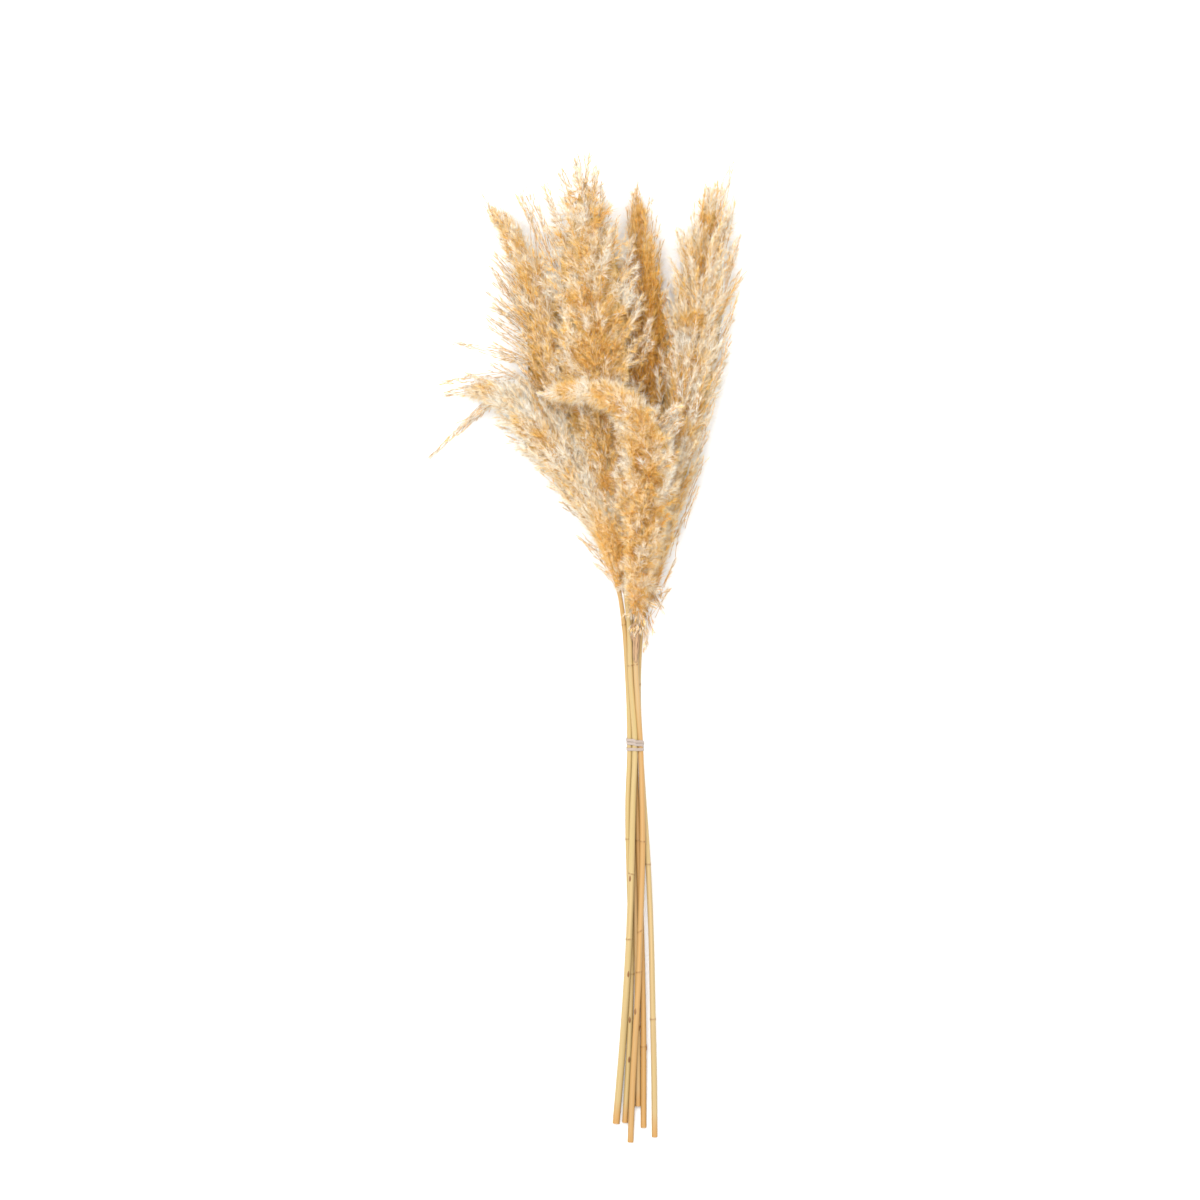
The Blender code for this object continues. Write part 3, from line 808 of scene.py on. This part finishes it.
HAIR_ROOTS = (0, 0.3)  # how far up its tuft a hair starts, over its length
SILK = (1.0, 1.0, 0.32, 0.0)  # length and radius over the settings', openness, how much paler
DOWN = (1.05, 0.75, 0.45, 0.12)
CORE_ROWS = 130
CORE_SPAN = (0.04, 0.96)  # shares of the axis
CORE_BLUNT = 0.4  # below 1, its ends are blunt
CORE_SIDES = 40
CORE_WIDTH = 0.7  # the matted layer's half width, half depth and drop, as shares of the outline
CORE_DEPTH = 0.11
CORE_DROP = 0.28
CORE_RIDGES, CORE_HUMPS = 5, 26  # how many lumps it has round it and along it, roughly
CORE_LUMPS = 0.6  # how high they are
CORE_FULLEST = 1.05  # how far a lump may swell it


def seed_template():
    """A closed three-sided spindle along Z from 0 to 1, a unit thick at its widest."""
    bm = bmesh.new()
    bmesh.ops.create_uvsphere(bm, u_segments=3, v_segments=3, radius=1.0)
    bmesh.ops.scale(bm, verts=bm.verts, vec=(1.0, 1.0, 0.5))
    bmesh.ops.translate(bm, verts=bm.verts, vec=(0.0, 0.0, 0.5))
    return template_arrays(bm)


def needle_template():
    """A closed three-sided needle along Z from 0 to 1, a unit thick at its root."""
    bm = bmesh.new()
    bmesh.ops.create_cone(bm, cap_ends=True, segments=3, radius1=1.0, radius2=0.0, depth=1.0)
    bmesh.ops.translate(bm, verts=bm.verts, vec=(0.0, 0.0, 0.5))
    bmesh.ops.remove_doubles(bm, verts=bm.verts, dist=0.0001)
    return template_arrays(bm)


def twig_template():
    """A closed three-sided tube along Z with a row of points at each whole height."""
    corners = [(math.cos(angle), math.sin(angle)) for angle in (0.0, 2.1, 4.2)]
    bm, _ = drawn_tube([[(*corner, row) for corner in corners] for row in range(BRANCH_ROWS)])
    return template_arrays(bm)


def template_arrays(bm):
    """The places and triangles of a small shape that is repeated many times."""
    bmesh.ops.triangulate(bm, faces=bm.faces)
    bm.verts.ensure_lookup_table()
    places = np.array([vertex.co[:] for vertex in bm.verts])
    faces = np.array([[vertex.index for vertex in face.verts] for face in bm.faces])
    bm.free()
    return places, faces


def repeated_mesh(name, faces, places, maps):
    """One mesh of many copies of a small shape, from each copy's places and map places."""
    copies, corners = places.shape[:2]
    shift = np.arange(copies)[:, None, None] * corners
    indices = (faces[None] + shift).reshape(-1).astype(np.int32)
    mesh = bpy.data.meshes.new(name)
    mesh.vertices.add(copies * corners)
    mesh.vertices.foreach_set("co", places.reshape(-1).astype(np.float32))
    mesh.loops.add(len(indices))
    mesh.loops.foreach_set("vertex_index", indices)
    mesh.polygons.add(len(indices) // 3)
    mesh.polygons.foreach_set("loop_start", np.arange(0, len(indices), 3, dtype=np.int32))
    layer = mesh.uv_layers.new(name=MAP)
    layer.uv.foreach_set("vector", maps.reshape(-1, 2)[indices].astype(np.float32).reshape(-1))
    mesh.update(calc_edges=True)
    mesh.validate()
    mesh.shade_smooth()
    return mesh


def spread_map(template, tints):
    """Map places for copies of a shape: U round the copy's tint, V from its root to its tip."""
    height = template[:, 2] / template[:, 2].max()
    across = np.arctan2(template[:, 1], template[:, 0]) / math.pi
    u = tints[:, None] + across[None] * MAP_WIDTH
    return np.stack((np.clip(u, 0.001, 0.999), np.broadcast_to(height, u.shape) * 0.98 + 0.01), -1)


def turned(directions, rolls):
    """Two directions square to each of the given ones, rolled round them."""
    helper = np.where(np.abs(directions[:, 2:3]) < 0.9, (0.0, 0.0, 1.0), (1.0, 0.0, 0.0))
    first = unit(np.cross(directions, helper))
    second = np.cross(directions, first)
    cosine, sine = np.cos(rolls)[:, None], np.sin(rolls)[:, None]
    return first * cosine + second * sine, second * cosine - first * sine


def grown_hairs(template, roots, directions, lengths, radii, bends, rng):
    """Places of bent spindles that stand on the given roots."""
    first, second = turned(directions, rng.uniform(0, 2 * math.pi, len(roots)))
    height = template[:, 2][None, :, None]
    bow = (height * height) * bends[:, None, None]
    along = roots[:, None] + directions[:, None] * height * lengths[:, None, None]
    sideways = first[:, None] * template[:, 0][None, :, None]
    sideways = sideways + second[:, None] * template[:, 1][None, :, None]
    places = along + sideways * radii[:, None, None] + first[:, None] * bow * lengths[:, None, None]
    return lifted(places, FLOOR_CLEARANCE)


def axis_line(axis):
    """Points along a plume's axis."""
    return smooth_through(axis, np.linspace(0, 1, AXIS_POINTS))[:, :3]


def silk_tint(stalk, share):
    """How pale a plume's silk is at shares of its axis."""
    return np.interp(share, np.linspace(0, 1, len(stalk["tints"])), stalk["tints"])


def branch_paths(stalk, axis, count, rng):
    """Curved side branches that fill a plume's outline, and its stray sprays.

    Returns the paths, how far out each one reaches from 0 to 1, and which are sprays.
    """
    root_at = (np.arange(count) + rng.uniform(0, 1, count)) / count * LAST_ROOT
    thin = (root_at > stalk["thins_at"]) & (rng.uniform(0, 1, count) < THINNED)
    root_at = np.where(thin, rng.uniform(0.0, stalk["thins_at"], count), root_at)
    crowded = rng.uniform(0, 1, count) < stalk["neck"]
    root_at = np.where(crowded, root_at * CROWD_LENGTH + stalk["bare"] + CROWD_START, root_at)
    root_at = np.where(crowded, root_at, root_at + stalk["bare"] * (1 - root_at))
    reach = rng.uniform(*stalk["reach"], count) * (1 - SHORTER_UP * root_at)
    reach = np.where(root_at < FOOT, reach * FOOT_REACH, reach)
    tip_at = np.minimum(root_at + reach, rng.uniform(*TIPS_END, count))
    turn = np.arange(count) * GOLDEN_ANGLE + rng.normal(0, TURN_SPREAD, count)
    spread = rng.uniform(*OUTNESS, count) ** OUTNESS_POWER
    root, tip = smooth_through(axis, root_at), smooth_through(axis, tip_at)
    _, sides, ups = frames_along(axis_line(axis))
    here = (np.clip(tip_at, 0, 1) * (AXIS_POINTS - 1)).astype(int)
    half = tip[:, 3:] * OUTLINE
    across = sides[here] * (np.cos(turn) * half[:, 0] * spread)[:, None]
    across = across + ups[here] * (np.sin(turn) * half[:, 1] * spread)[:, None]
    ends = tip[:, :3] + across
    towards = smooth_through(axis, np.maximum(tip_at - reach * KNEE_AT, 0))[:, :3]
    knees = towards + across * KNEE
    sprays = np.repeat(np.array(stalk["sprays"], dtype=float), SPRAY_STRANDS, 0)
    sprays = sprays + rng.normal(0, SPRAY_JITTER, sprays.shape)
    spray_roots, spray_ends = sprays[:, (0, 1, 4)], sprays[:, (2, 3, 4)]
    behind = rng.uniform(*SPRAY_START, (len(sprays), 1))
    spray_roots = spray_roots - (spray_ends - spray_roots) * behind
    roots = np.concatenate((root[:, :3], spray_roots * MM + TIE_MIDDLE))
    ends = np.concatenate((ends, spray_ends * MM + TIE_MIDDLE))
    halfway = (spray_roots + spray_ends) / 2 * MM + TIE_MIDDLE
    knees = np.concatenate((knees, halfway)) + rng.normal(0, KNEE_JITTER, roots.shape)
    s = np.linspace(0, 1, BRANCH_ROWS)[None, :, None]
    paths = (1 - s) ** 2 * roots[:, None] + 2 * s * (1 - s) * knees[:, None] + s**2 * ends[:, None]
    outness = np.concatenate((spread, np.ones(len(sprays))))
    return lifted(paths, LIE_HEIGHT), outness, np.arange(len(paths)) >= count


def tufts_on(paths, stray, total, rng):
    """Roots, directions and branches of tufts spread evenly along all the branches."""
    steps = np.linalg.norm(np.diff(paths, axis=1), axis=2)
    lengths = steps.sum(1) * np.where(stray, SPRAY_TUFTS, 1.0)
    counts = np.maximum((lengths / lengths.sum() * total).astype(int), 3)
    owner = np.repeat(np.arange(len(paths)), counts)
    order = np.concatenate([np.arange(count) for count in counts])
    share = (order + rng.uniform(0, 1, len(order))) / counts[owner]
    share = BARE_TWIG + (1 - BARE_TWIG) * share ** np.where(stray[owner], SPRAY_CROWD, 1.0)
    row = np.minimum(share * (BRANCH_ROWS - 1), BRANCH_ROWS - 1.001)
    below = row.astype(int)
    start, stop = paths[owner, below], paths[owner, below + 1]
    return start + (stop - start) * (row - below)[:, None], unit(stop - start), owner, share


def patchy(places, scale, seed):
    """A slow, patchy value about 0 for each place."""
    offset = Vector((seed * 3.1, seed * 1.7, 0.0))
    return np.array([noise.noise(Vector(place) + offset) for place in places * scale])


def make_twigs(name, axis, branches, stray, rng, material):
    """The middle stalk of a plume and its side branches, tapering to their tips."""
    twig, faces = twig_template()
    rachis = smooth_through(axis, np.linspace(*RACHIS_SPAN, BRANCH_ROWS))[None, :, :3]
    paths = np.concatenate((rachis, branches))
    thick = np.concatenate(([RACHIS_RADIUS], np.where(stray, SPRAY_RADIUS, TWIG_RADIUS)))
    radii = thick[:, None] * np.linspace(1, TWIG_TAPER, BRANCH_ROWS)
    _, side, up = frames_along(paths)
    row = twig[:, 2].astype(int)
    spokes = side[:, row] * twig[:, 0][:, None] + up[:, row] * twig[:, 1][:, None]
    places = lifted(paths[:, row] + spokes * radii[:, row][..., None], FLOOR_CLEARANCE)
    tints = np.clip(rng.normal(*TWIG_TINT, len(paths)), 0.05, 0.95)
    tints[1:][stray] = SPRAY_TWIG_TINT
    mesh = repeated_mesh(f"plume_{name}_branches", faces, places, spread_map(twig, tints))
    add_piece(mesh, [material], "plume", f"plume_{name}")


def make_core(name, stalk, axis, material):
    """The matted middle of a plume: a thin, broad, ridged layer that closes the gaps in it."""
    share = np.linspace(*CORE_SPAN, CORE_ROWS)
    rows = smooth_through(axis, share)
    _, side, up = frames_along(rows[:, :3])
    rounding = np.sin(np.linspace(0.02, math.pi - 0.02, CORE_ROWS)) ** CORE_BLUNT
    half = rows[:, 3:] * rounding[:, None] * (CORE_WIDTH, CORE_DEPTH)
    cosine, sine = np.cos(circle_angles(CORE_SIDES)), np.sin(circle_angles(CORE_SIDES))
    ridges = np.stack(np.broadcast_arrays(
        cosine * CORE_RIDGES, sine * CORE_RIDGES, share[:, None] * CORE_HUMPS
    ), -1)
    lumps = patchy(ridges.reshape(-1, 3), 1.0, SEED + len(name)).reshape(CORE_ROWS, CORE_SIDES)
    swell = np.minimum(1 + CORE_LUMPS * lumps, CORE_FULLEST)
    across = side[:, None] * (cosine * half[:, :1] * swell)[..., None]
    across = across + up[:, None] * (sine * half[:, 1:] * swell)[..., None]
    places = rows[:, None, :3] - up[:, None] * (rows[:, 4:] * CORE_DROP)[:, None] + across
    bm, _ = drawn_tube(lifted(places, LIE_HEIGHT))
    tint = bm.verts.layers.float.new("tint")
    for vertex, pale in zip(bm.verts, np.repeat(silk_tint(stalk, share), CORE_SIDES)):
        vertex[tint] = pale
    add_piece(finished_mesh(bm, f"plume_{name}_core"), [material], "plume")


def make_spikelets(name, tufts, settings, rng, material):
    """A dry spikelet on some of the tufts, and on most of those of the stray sprays."""
    spots, heading, tints, stray = tufts
    seeded = rng.uniform(0, 1, len(spots)) < SPIKELET_SHARE * np.where(stray, 2, 1)
    spots, heading, tints, stray = (part[seeded] for part in tufts)
    lengths = settings.spikelet_length * rng.uniform(*SPIKELET_LENGTHS, len(spots))
    radii = settings.spikelet_radius * rng.uniform(*SPIKELET_RADII, len(spots))
    bends = rng.normal(0, SPIKELET_BEND, len(spots))
    spikelet, faces = seed_template()
    places = grown_hairs(spikelet, spots, heading, lengths, radii, bends, rng)
    darker = np.where(stray, STRAY_SPIKELET_DARKER, SPIKELET_DARKER)
    maps = spread_map(spikelet, np.clip(tints - darker, 0.02, 0.6))
    add_piece(repeated_mesh(f"plume_{name}_spikelets", faces, places, maps), [material], "plume")


def make_hairs(name, tufts, hairs, length, radius, openness, paler, rng, material):
    """Fine hairs that open out of every tuft."""
    spots, heading, tints, stray = (np.repeat(part, hairs, 0) for part in tufts)
    tints = tints + paler + rng.normal(0, HAIR_TINT, len(spots))
    roots = spots + heading * (rng.uniform(*HAIR_ROOTS, len(spots)) * length)[:, None]
    along = unit(heading + rng.normal(0, openness, heading.shape))
    lengths = length * np.where(stray, SPRAY_SILK, 1.0) * rng.uniform(*HAIR_LENGTHS, len(spots))
    radii = radius * rng.uniform(*HAIR_RADII, len(spots))
    bends = rng.normal(0, HAIR_BEND, len(spots))
    hair, faces = needle_template()
    places = grown_hairs(hair, roots, along, lengths, radii, bends, rng)
    maps = spread_map(hair, np.clip(tints, 0.02, 0.98))
    add_piece(repeated_mesh(name, faces, places, maps), [material], "plume")


def make_plume(name, stalk, settings, materials):
    """One plume: its branches and matted middle, and the spikelets, silk and down of its tufts."""
    rng = np.random.default_rng(SEED + sorted(STALKS).index(name))
    axis = world(stalk["plume"])
    branches, outness, stray = branch_paths(stalk, axis, settings.branches, rng)
    make_twigs(name, axis, branches, stray, rng, materials["branch"])
    make_core(name, stalk, axis, materials["core"])

    spots, forward, owner, share = tufts_on(
        branches, stray, int(settings.tufts * stalk["full"]), rng
    )
    middle = axis_line(axis)
    nearest = np.linalg.norm(spots[:, None] - middle[None], axis=2).argmin(1)
    growing = NECK_TUFTS + nearest / (AXIS_POINTS - 1) / NECK_BARE
    kept = rng.uniform(0, 1, len(spots)) < growing
    spots, forward, owner, share, nearest = (
        part[kept] for part in (spots, forward, owner, share, nearest)
    )
    on_spray, at = stray[owner], nearest / (AXIS_POINTS - 1)
    outward = unit(spots - middle[nearest])
    loose = unit(rng.normal(0, 1, spots.shape))
    leaning = unit(outward * rng.uniform(*TUFT_LEAN, len(spots))[:, None] + loose)
    slope = rng.uniform(*stalk["slope"], len(spots)) * np.where(on_spray, SPRAY_LEAN, 1.0)
    heading = unit(forward * (1 - LEAN_LOSS * slope[:, None]) + leaning * slope[:, None])
    tints = silk_tint(stalk, at) + rng.normal(0, BRANCH_TINT, len(branches))[owner]
    tints = tints + (outness[owner] * share - 0.5) * OUTER_PALER
    tints = tints + patchy(spots, PATCHES, SEED) * PATCH_PALER + rng.normal(0, TUFT_TINT, len(spots))
    by_neck = np.clip(1 - at / NECK_RESTLESS, 0, 1)
    tints = tints + rng.normal(*NECK_TINT, len(spots)) * by_neck + on_spray * SPRAY_PALER

    tufts = (spots, heading, tints, on_spray)
    make_spikelets(name, tufts, settings, rng, materials["spikelet"])
    for kind, hairs, (longer, thicker, openness, paler) in (
        ("silk", settings.hairs, SILK), ("down", stalk["down"], DOWN),
    ):
        make_hairs(
            f"plume_{name}_{kind}", tufts, hairs, settings.silk_length * longer,
            settings.silk_radius * thicker, openness, paler, rng, materials["silk"],
        )


# --- Tie, sheath and husk ---

LINE_POINTS = 400  # at which a stem's line is read
TIE_ROWS_PER_TURN = 64
# For each turn: where it lies along the stems on the right and on the left, and its lift, in mm.
TIE_TURNS = ((-1.6, 1.9, 0.0), (1.4, 5.4, 0.35), (-5.2, -4.6, 0.0))
ON_TOP = (0.22, 0.78)  # the shares of a turn between which it crosses in sight
UNDERNEATH = (0.82, 1.0)  # and underneath, on its way to the next turn
TIE_WAVER = 0.3 * MM
TIE_RIDE = 1.3 * MM  # how far a turn rides over the others underneath
BAND_SIDES = 16
BAND_THREADS = 4  # ridges on each face of the band
THREAD_HEIGHT = 0.07  # as a share of the thickness


def stem_line(stalk):
    """Points along the bare part of a stem."""
    return smooth_through(world(stalk["stem"]), np.linspace(0, 1, LINE_POINTS))


def tie_outline(clearance):
    """Where a taut band runs round the stems: a point and an outward direction per angle."""
    circles = []
    for stalk in STALKS.values():
        fine = stem_line(stalk)
        cut, neck = (radius * MM for radius in stalk["radii"])
        here = int(np.argmin(np.abs(fine[:, 1] - TIE_MIDDLE[1])))
        circles.append((fine[here, 0], fine[here, 2], cut + (neck - cut) * here / LINE_POINTS))

    def at(angle):
        outward = np.array((math.cos(angle), math.sin(angle)))
        x, z, radius = max(circles, key=lambda c: c[0] * outward[0] + c[1] * outward[1] + c[2])
        return np.array((x, z)) + outward * (radius + clearance), outward

    return at


def eased(share, start, stop):
    """A smooth step from 0 to 1 between two shares of a turn."""
    step = min(max((share - start) / (stop - start), 0.0), 1.0)
    return step * step * (3 - 2 * step)


def make_tie(settings, material):
    """One endless elastic band, wound three times round the stems."""
    outline = tie_outline(settings.thickness / 2)
    centres = []
    for step in range(len(TIE_TURNS) * TIE_ROWS_PER_TURN):
        turn, part = divmod(step, TIE_ROWS_PER_TURN)
        share = part / TIE_ROWS_PER_TURN
        right, left, lift = (value * MM for value in TIE_TURNS[turn])
        following, _, next_lift = (value * MM for value in TIE_TURNS[(turn + 1) % len(TIE_TURNS)])
        over, under = eased(share, *ON_TOP), eased(share, *UNDERNEATH)
        along = right + (left - right) * over + (following - left) * under
        along += TIE_WAVER * math.sin(2 * math.pi * share) * math.sin(6 * math.pi * share + turn)
        last = turn == len(TIE_TURNS) - 1  # it passes back under the stems over the other turns
        ride = TIE_RIDE * math.sin(math.pi * under) ** 0.5 if last else 0.0
        place, outward = outline(-math.pi / 2 + 2 * math.pi * share)
        place = place + outward * (lift + (next_lift - lift) * under + ride)
        centres.append((place[0], TIE_MIDDLE[1] + along, place[1]))
    centres = np.array(centres + centres[:1])
    tangents = unit(np.roll(centres[:-1], -1, 0) - np.roll(centres[:-1], 1, 0))
    tangents = np.concatenate((tangents, tangents[:1]))
    side = unit(np.array((0.0, 1.0, 0.0)) - tangents * tangents[:, 1:2])
    up = np.cross(side, tangents)
    angles = circle_angles(BAND_SIDES)
    threads = 1 + THREAD_HEIGHT * np.cos(angles * 2 * BAND_THREADS)
    broad, thick = settings.width / 2 * np.cos(angles), settings.thickness / 2 * np.sin(angles)
    spokes = side[:, None] * broad[:, None] + up[:, None] * (thick * threads)[:, None]
    bm, _ = drawn_tube(centres[:, None] + spokes, closed=True)
    add_piece(finished_mesh(bm, "elastic_tie"), [material], "band", "tie_band")


SHEATH_ROWS = 26
SHEATH_START, SHEATH_END = 82.0, 121.0  # mm from the tie
SHEATH_FOOT, SHEATH_WRAP = 12, 100  # half angle at its pointed foot, and how much wider further up
SHEATH_WIDENS, SHEATH_CURVE = 2.2, 0.7
TORN, TORN_WAVES = 9, 23  # how far its torn edges waver, in degrees
SHEATH_RADII = (2.95, 0.9)  # mm: at its foot, and how much more at its top
LEAF_ARC = 13  # points across a leaf
HUSK_ROWS = 18
HUSK_RADIUS = 2.4 * MM
HUSK_WRAP = 58  # half angle at its widest, in degrees
HUSK_PATH = (
    (-1.6, 103.0, 43.0), (-2.6, 109.0, 44.6), (-2.8, 115.0, 47.2), (-1.6, 119.0, 50.6),
    (0.6, 120.5, 52.6),
)


def make_leaf(name, node, centres, sides, ups, halves, radii, settings, material):
    """A thin curved leaf: each row is an arc of the given half angle and radius, with a wall."""
    rings = []
    for centre, side, up, half, radius in zip(centres, sides, ups, halves, radii):
        arc = np.linspace(-half, half, LEAF_ARC)[:, None]
        spokes = up * np.cos(arc) + side * np.sin(arc)
        inner, outer = centre + spokes * radius, centre + spokes * (radius + settings.wall)
        rings.append((*inner, *outer[::-1]))
    bm, _ = drawn_tube(rings)
    add_piece(finished_mesh(bm, name), [material], "husk", node)


def make_sheath(settings, material):
    """A dry leaf base wrapped round the front stem, torn to a point at its foot."""
    stem = stem_line(STALKS["front"])
    distances = np.linspace(SHEATH_START, SHEATH_END, SHEATH_ROWS) * MM + TIE_MIDDLE[1]
    centres = np.stack([np.interp(distances, stem[:, 1], column) for column in stem.T], 1)
    _, sides, ups = frames_along(centres)
    along = np.linspace(0, 1, SHEATH_ROWS)
    widened = np.minimum(along * SHEATH_WIDENS, 1) ** SHEATH_CURVE
    halves = SHEATH_FOOT + SHEATH_WRAP * widened + TORN * np.sin(along * TORN_WAVES)
    radii = (SHEATH_RADII[0] + SHEATH_RADII[1] * along**3) * MM
    turn = 0.5 * np.sin(along * 3)[:, None]
    leaning = ups * np.cos(turn) - sides * np.sin(turn)
    across = sides * np.cos(turn) + ups * np.sin(turn)
    make_leaf(
        "sheath_leaf", "leaf_sheath", centres, across, leaning, np.radians(halves), radii,
        settings, material,
    )


def make_husk(settings, material):
    """A scrap of husk that curls up off the stems to a point."""
    along = np.linspace(0, 1, HUSK_ROWS)
    centres = smooth_through(world(HUSK_PATH), along)
    _, sides, ups = frames_along(centres)
    halves = np.radians(HUSK_WRAP * np.sin(math.pi * (0.12 + 0.86 * along)) ** 0.6)
    radii = np.full(HUSK_ROWS, HUSK_RADIUS)
    make_leaf("husk_curl", "husk_scrap", centres, sides, -ups, halves, radii, settings, material)


# --- Stage ---

FLOOR_SIZE = 12.0
LAMP_SIZE = 2.4
LAMP_PLACE = Vector((-0.45, 0.5, 2.5))  # from the middle of the view
VIEW_HEIGHT = 0.035  # the height at which the view is as wide as its setting


def make_stage(settings):
    """The floor, the light of the room, a large soft lamp and the camera."""
    scene = bpy.context.scene
    bm = bmesh.new()
    bmesh.ops.create_grid(bm, x_segments=1, y_segments=1, size=FLOOR_SIZE / 2)
    mesh = finished_mesh(bm, "floor", smooth=False)
    floor = bpy.data.objects.new("floor", mesh)
    finish = Finish("pale floor", roughness=0.9, specular=0.1)
    grain = finish.noise(finish.place(), 3.0, 3.0)
    finish.feed("Base Color", finish.shade(tuple(settings.floor_colour), grain * 0.02 + 0.99))
    mesh.materials.append(finish.material)
    scene.collection.objects.link(floor)

    world_light = bpy.data.worlds.new("room")
    world_light.use_nodes = True
    background = world_light.node_tree.nodes["Background"]
    background.inputs["Color"].default_value = (1.0, 1.0, 1.0, 1.0)
    background.inputs["Strength"].default_value = settings.room_light
    scene.world = world_light

    middle = Vector((*(TIE_MIDDLE[:2] + np.array(settings.view_offset)), VIEW_HEIGHT))
    lamp_data = bpy.data.lights.new("key lamp", "AREA")
    lamp_data.shape = "SQUARE"
    lamp_data.size = LAMP_SIZE
    lamp_data.energy = settings.key_light
    lamp = bpy.data.objects.new("key lamp", lamp_data)
    lamp.location = middle + LAMP_PLACE
    lamp.rotation_euler = (middle - lamp.location).to_track_quat("-Z", "Y").to_euler()
    scene.collection.objects.link(lamp)

    camera_data = bpy.data.cameras.new("camera")
    camera_data.lens = settings.focal_length
    camera = bpy.data.objects.new("camera", camera_data)
    distance = settings.view_width * settings.focal_length / camera_data.sensor_width
    camera.location = middle + Vector((0, 0, distance))
    scene.collection.objects.link(camera)
    scene.camera = camera
    scene.view_settings.view_transform = "Standard"


# --- Operators and panel ---


class PAMPAS_OT_stage(Operator):
    """Add the floor, the soft light and the camera"""

    bl_idname = "pampas.stage"
    bl_label = "Make stage"

    def execute(self, context):
        make_stage(context.scene.pampas_stage)
        return {"FINISHED"}


class PAMPAS_OT_stems(Operator):
    """Add the six dry stems"""

    bl_idname = "pampas.stems"
    bl_label = "Make stems"

    def execute(self, context):
        settings = context.scene.pampas_stems
        materials = [stem_finish(settings), pith_finish()]
        for name, stalk in STALKS.items():
            make_stem(name, stalk, settings, materials)
        return {"FINISHED"}


class PAMPAS_OT_plumes(Operator):
    """Add the six feathery plumes"""

    bl_idname = "pampas.plumes"
    bl_label = "Make plumes"

    def execute(self, context):
        settings = context.scene.pampas_plumes
        stops = silk_stops(settings)
        dry_stops = ((0.0, settings.dry_colour), (0.12, settings.brown_colour), *stops[1:])
        materials = {
            "branch": silk_finish("straw twig", 0.0, 0.6, dry_stops),
            "silk": silk_finish("plume silk", 0.5, 0.8, stops),
            "spikelet": silk_finish("dry spikelet", 0.2, 0.6, dry_stops),
            "core": core_finish_with_painted_shade(stops),
        }
        for name, stalk in STALKS.items():
            make_plume(name, stalk, settings, materials)
        return {"FINISHED"}


class PAMPAS_OT_tie(Operator):
    """Add the elastic tie"""

    bl_idname = "pampas.tie"
    bl_label = "Make tie"

    def execute(self, context):
        settings = context.scene.pampas_tie
        make_tie(settings, elastic_finish(settings))
        return {"FINISHED"}


class PAMPAS_OT_husks(Operator):
    """Add the leaf sheath and the scrap of husk"""

    bl_idname = "pampas.husks"
    bl_label = "Make husks"

    def execute(self, context):
        settings = context.scene.pampas_husks
        material = husk_finish(settings)
        make_sheath(settings, material)
        make_husk(settings, material)
        return {"FINISHED"}


GROUPS = {
    "pampas_stage": (StageSettings, PAMPAS_OT_stage),
    "pampas_stems": (StemSettings, PAMPAS_OT_stems),
    "pampas_tie": (TieSettings, PAMPAS_OT_tie),
    "pampas_husks": (HuskSettings, PAMPAS_OT_husks),
    "pampas_plumes": (PlumeSettings, PAMPAS_OT_plumes),
}


class PAMPAS_PT_panel(Panel):
    """Settings of the bundle, each with its button"""

    bl_idname = "PAMPAS_PT_panel"
    bl_label = "Pampas Grass Bundle"
    bl_space_type = "VIEW_3D"
    bl_region_type = "UI"
    bl_category = "Pampas"

    def draw(self, context):
        for group, (settings, operator) in GROUPS.items():
            box = self.layout.box()
            for name in settings.__annotations__:
                box.prop(getattr(context.scene, group), name)
            box.operator(operator.bl_idname)


def register():
    for group, (settings, operator) in GROUPS.items():
        bpy.utils.register_class(settings)
        bpy.utils.register_class(operator)
        setattr(bpy.types.Scene, group, PointerProperty(type=settings))
    bpy.utils.register_class(PAMPAS_PT_panel)


def unregister():
    bpy.utils.unregister_class(PAMPAS_PT_panel)
    for group, (settings, operator) in reversed(GROUPS.items()):
        delattr(bpy.types.Scene, group)
        bpy.utils.unregister_class(operator)
        bpy.utils.unregister_class(settings)


def main():
    register()
    bpy.ops.pampas.stage()
    bpy.ops.pampas.stems()
    bpy.ops.pampas.tie()
    bpy.ops.pampas.husks()
    bpy.ops.pampas.plumes()


if __name__ == "__main__":
    main()
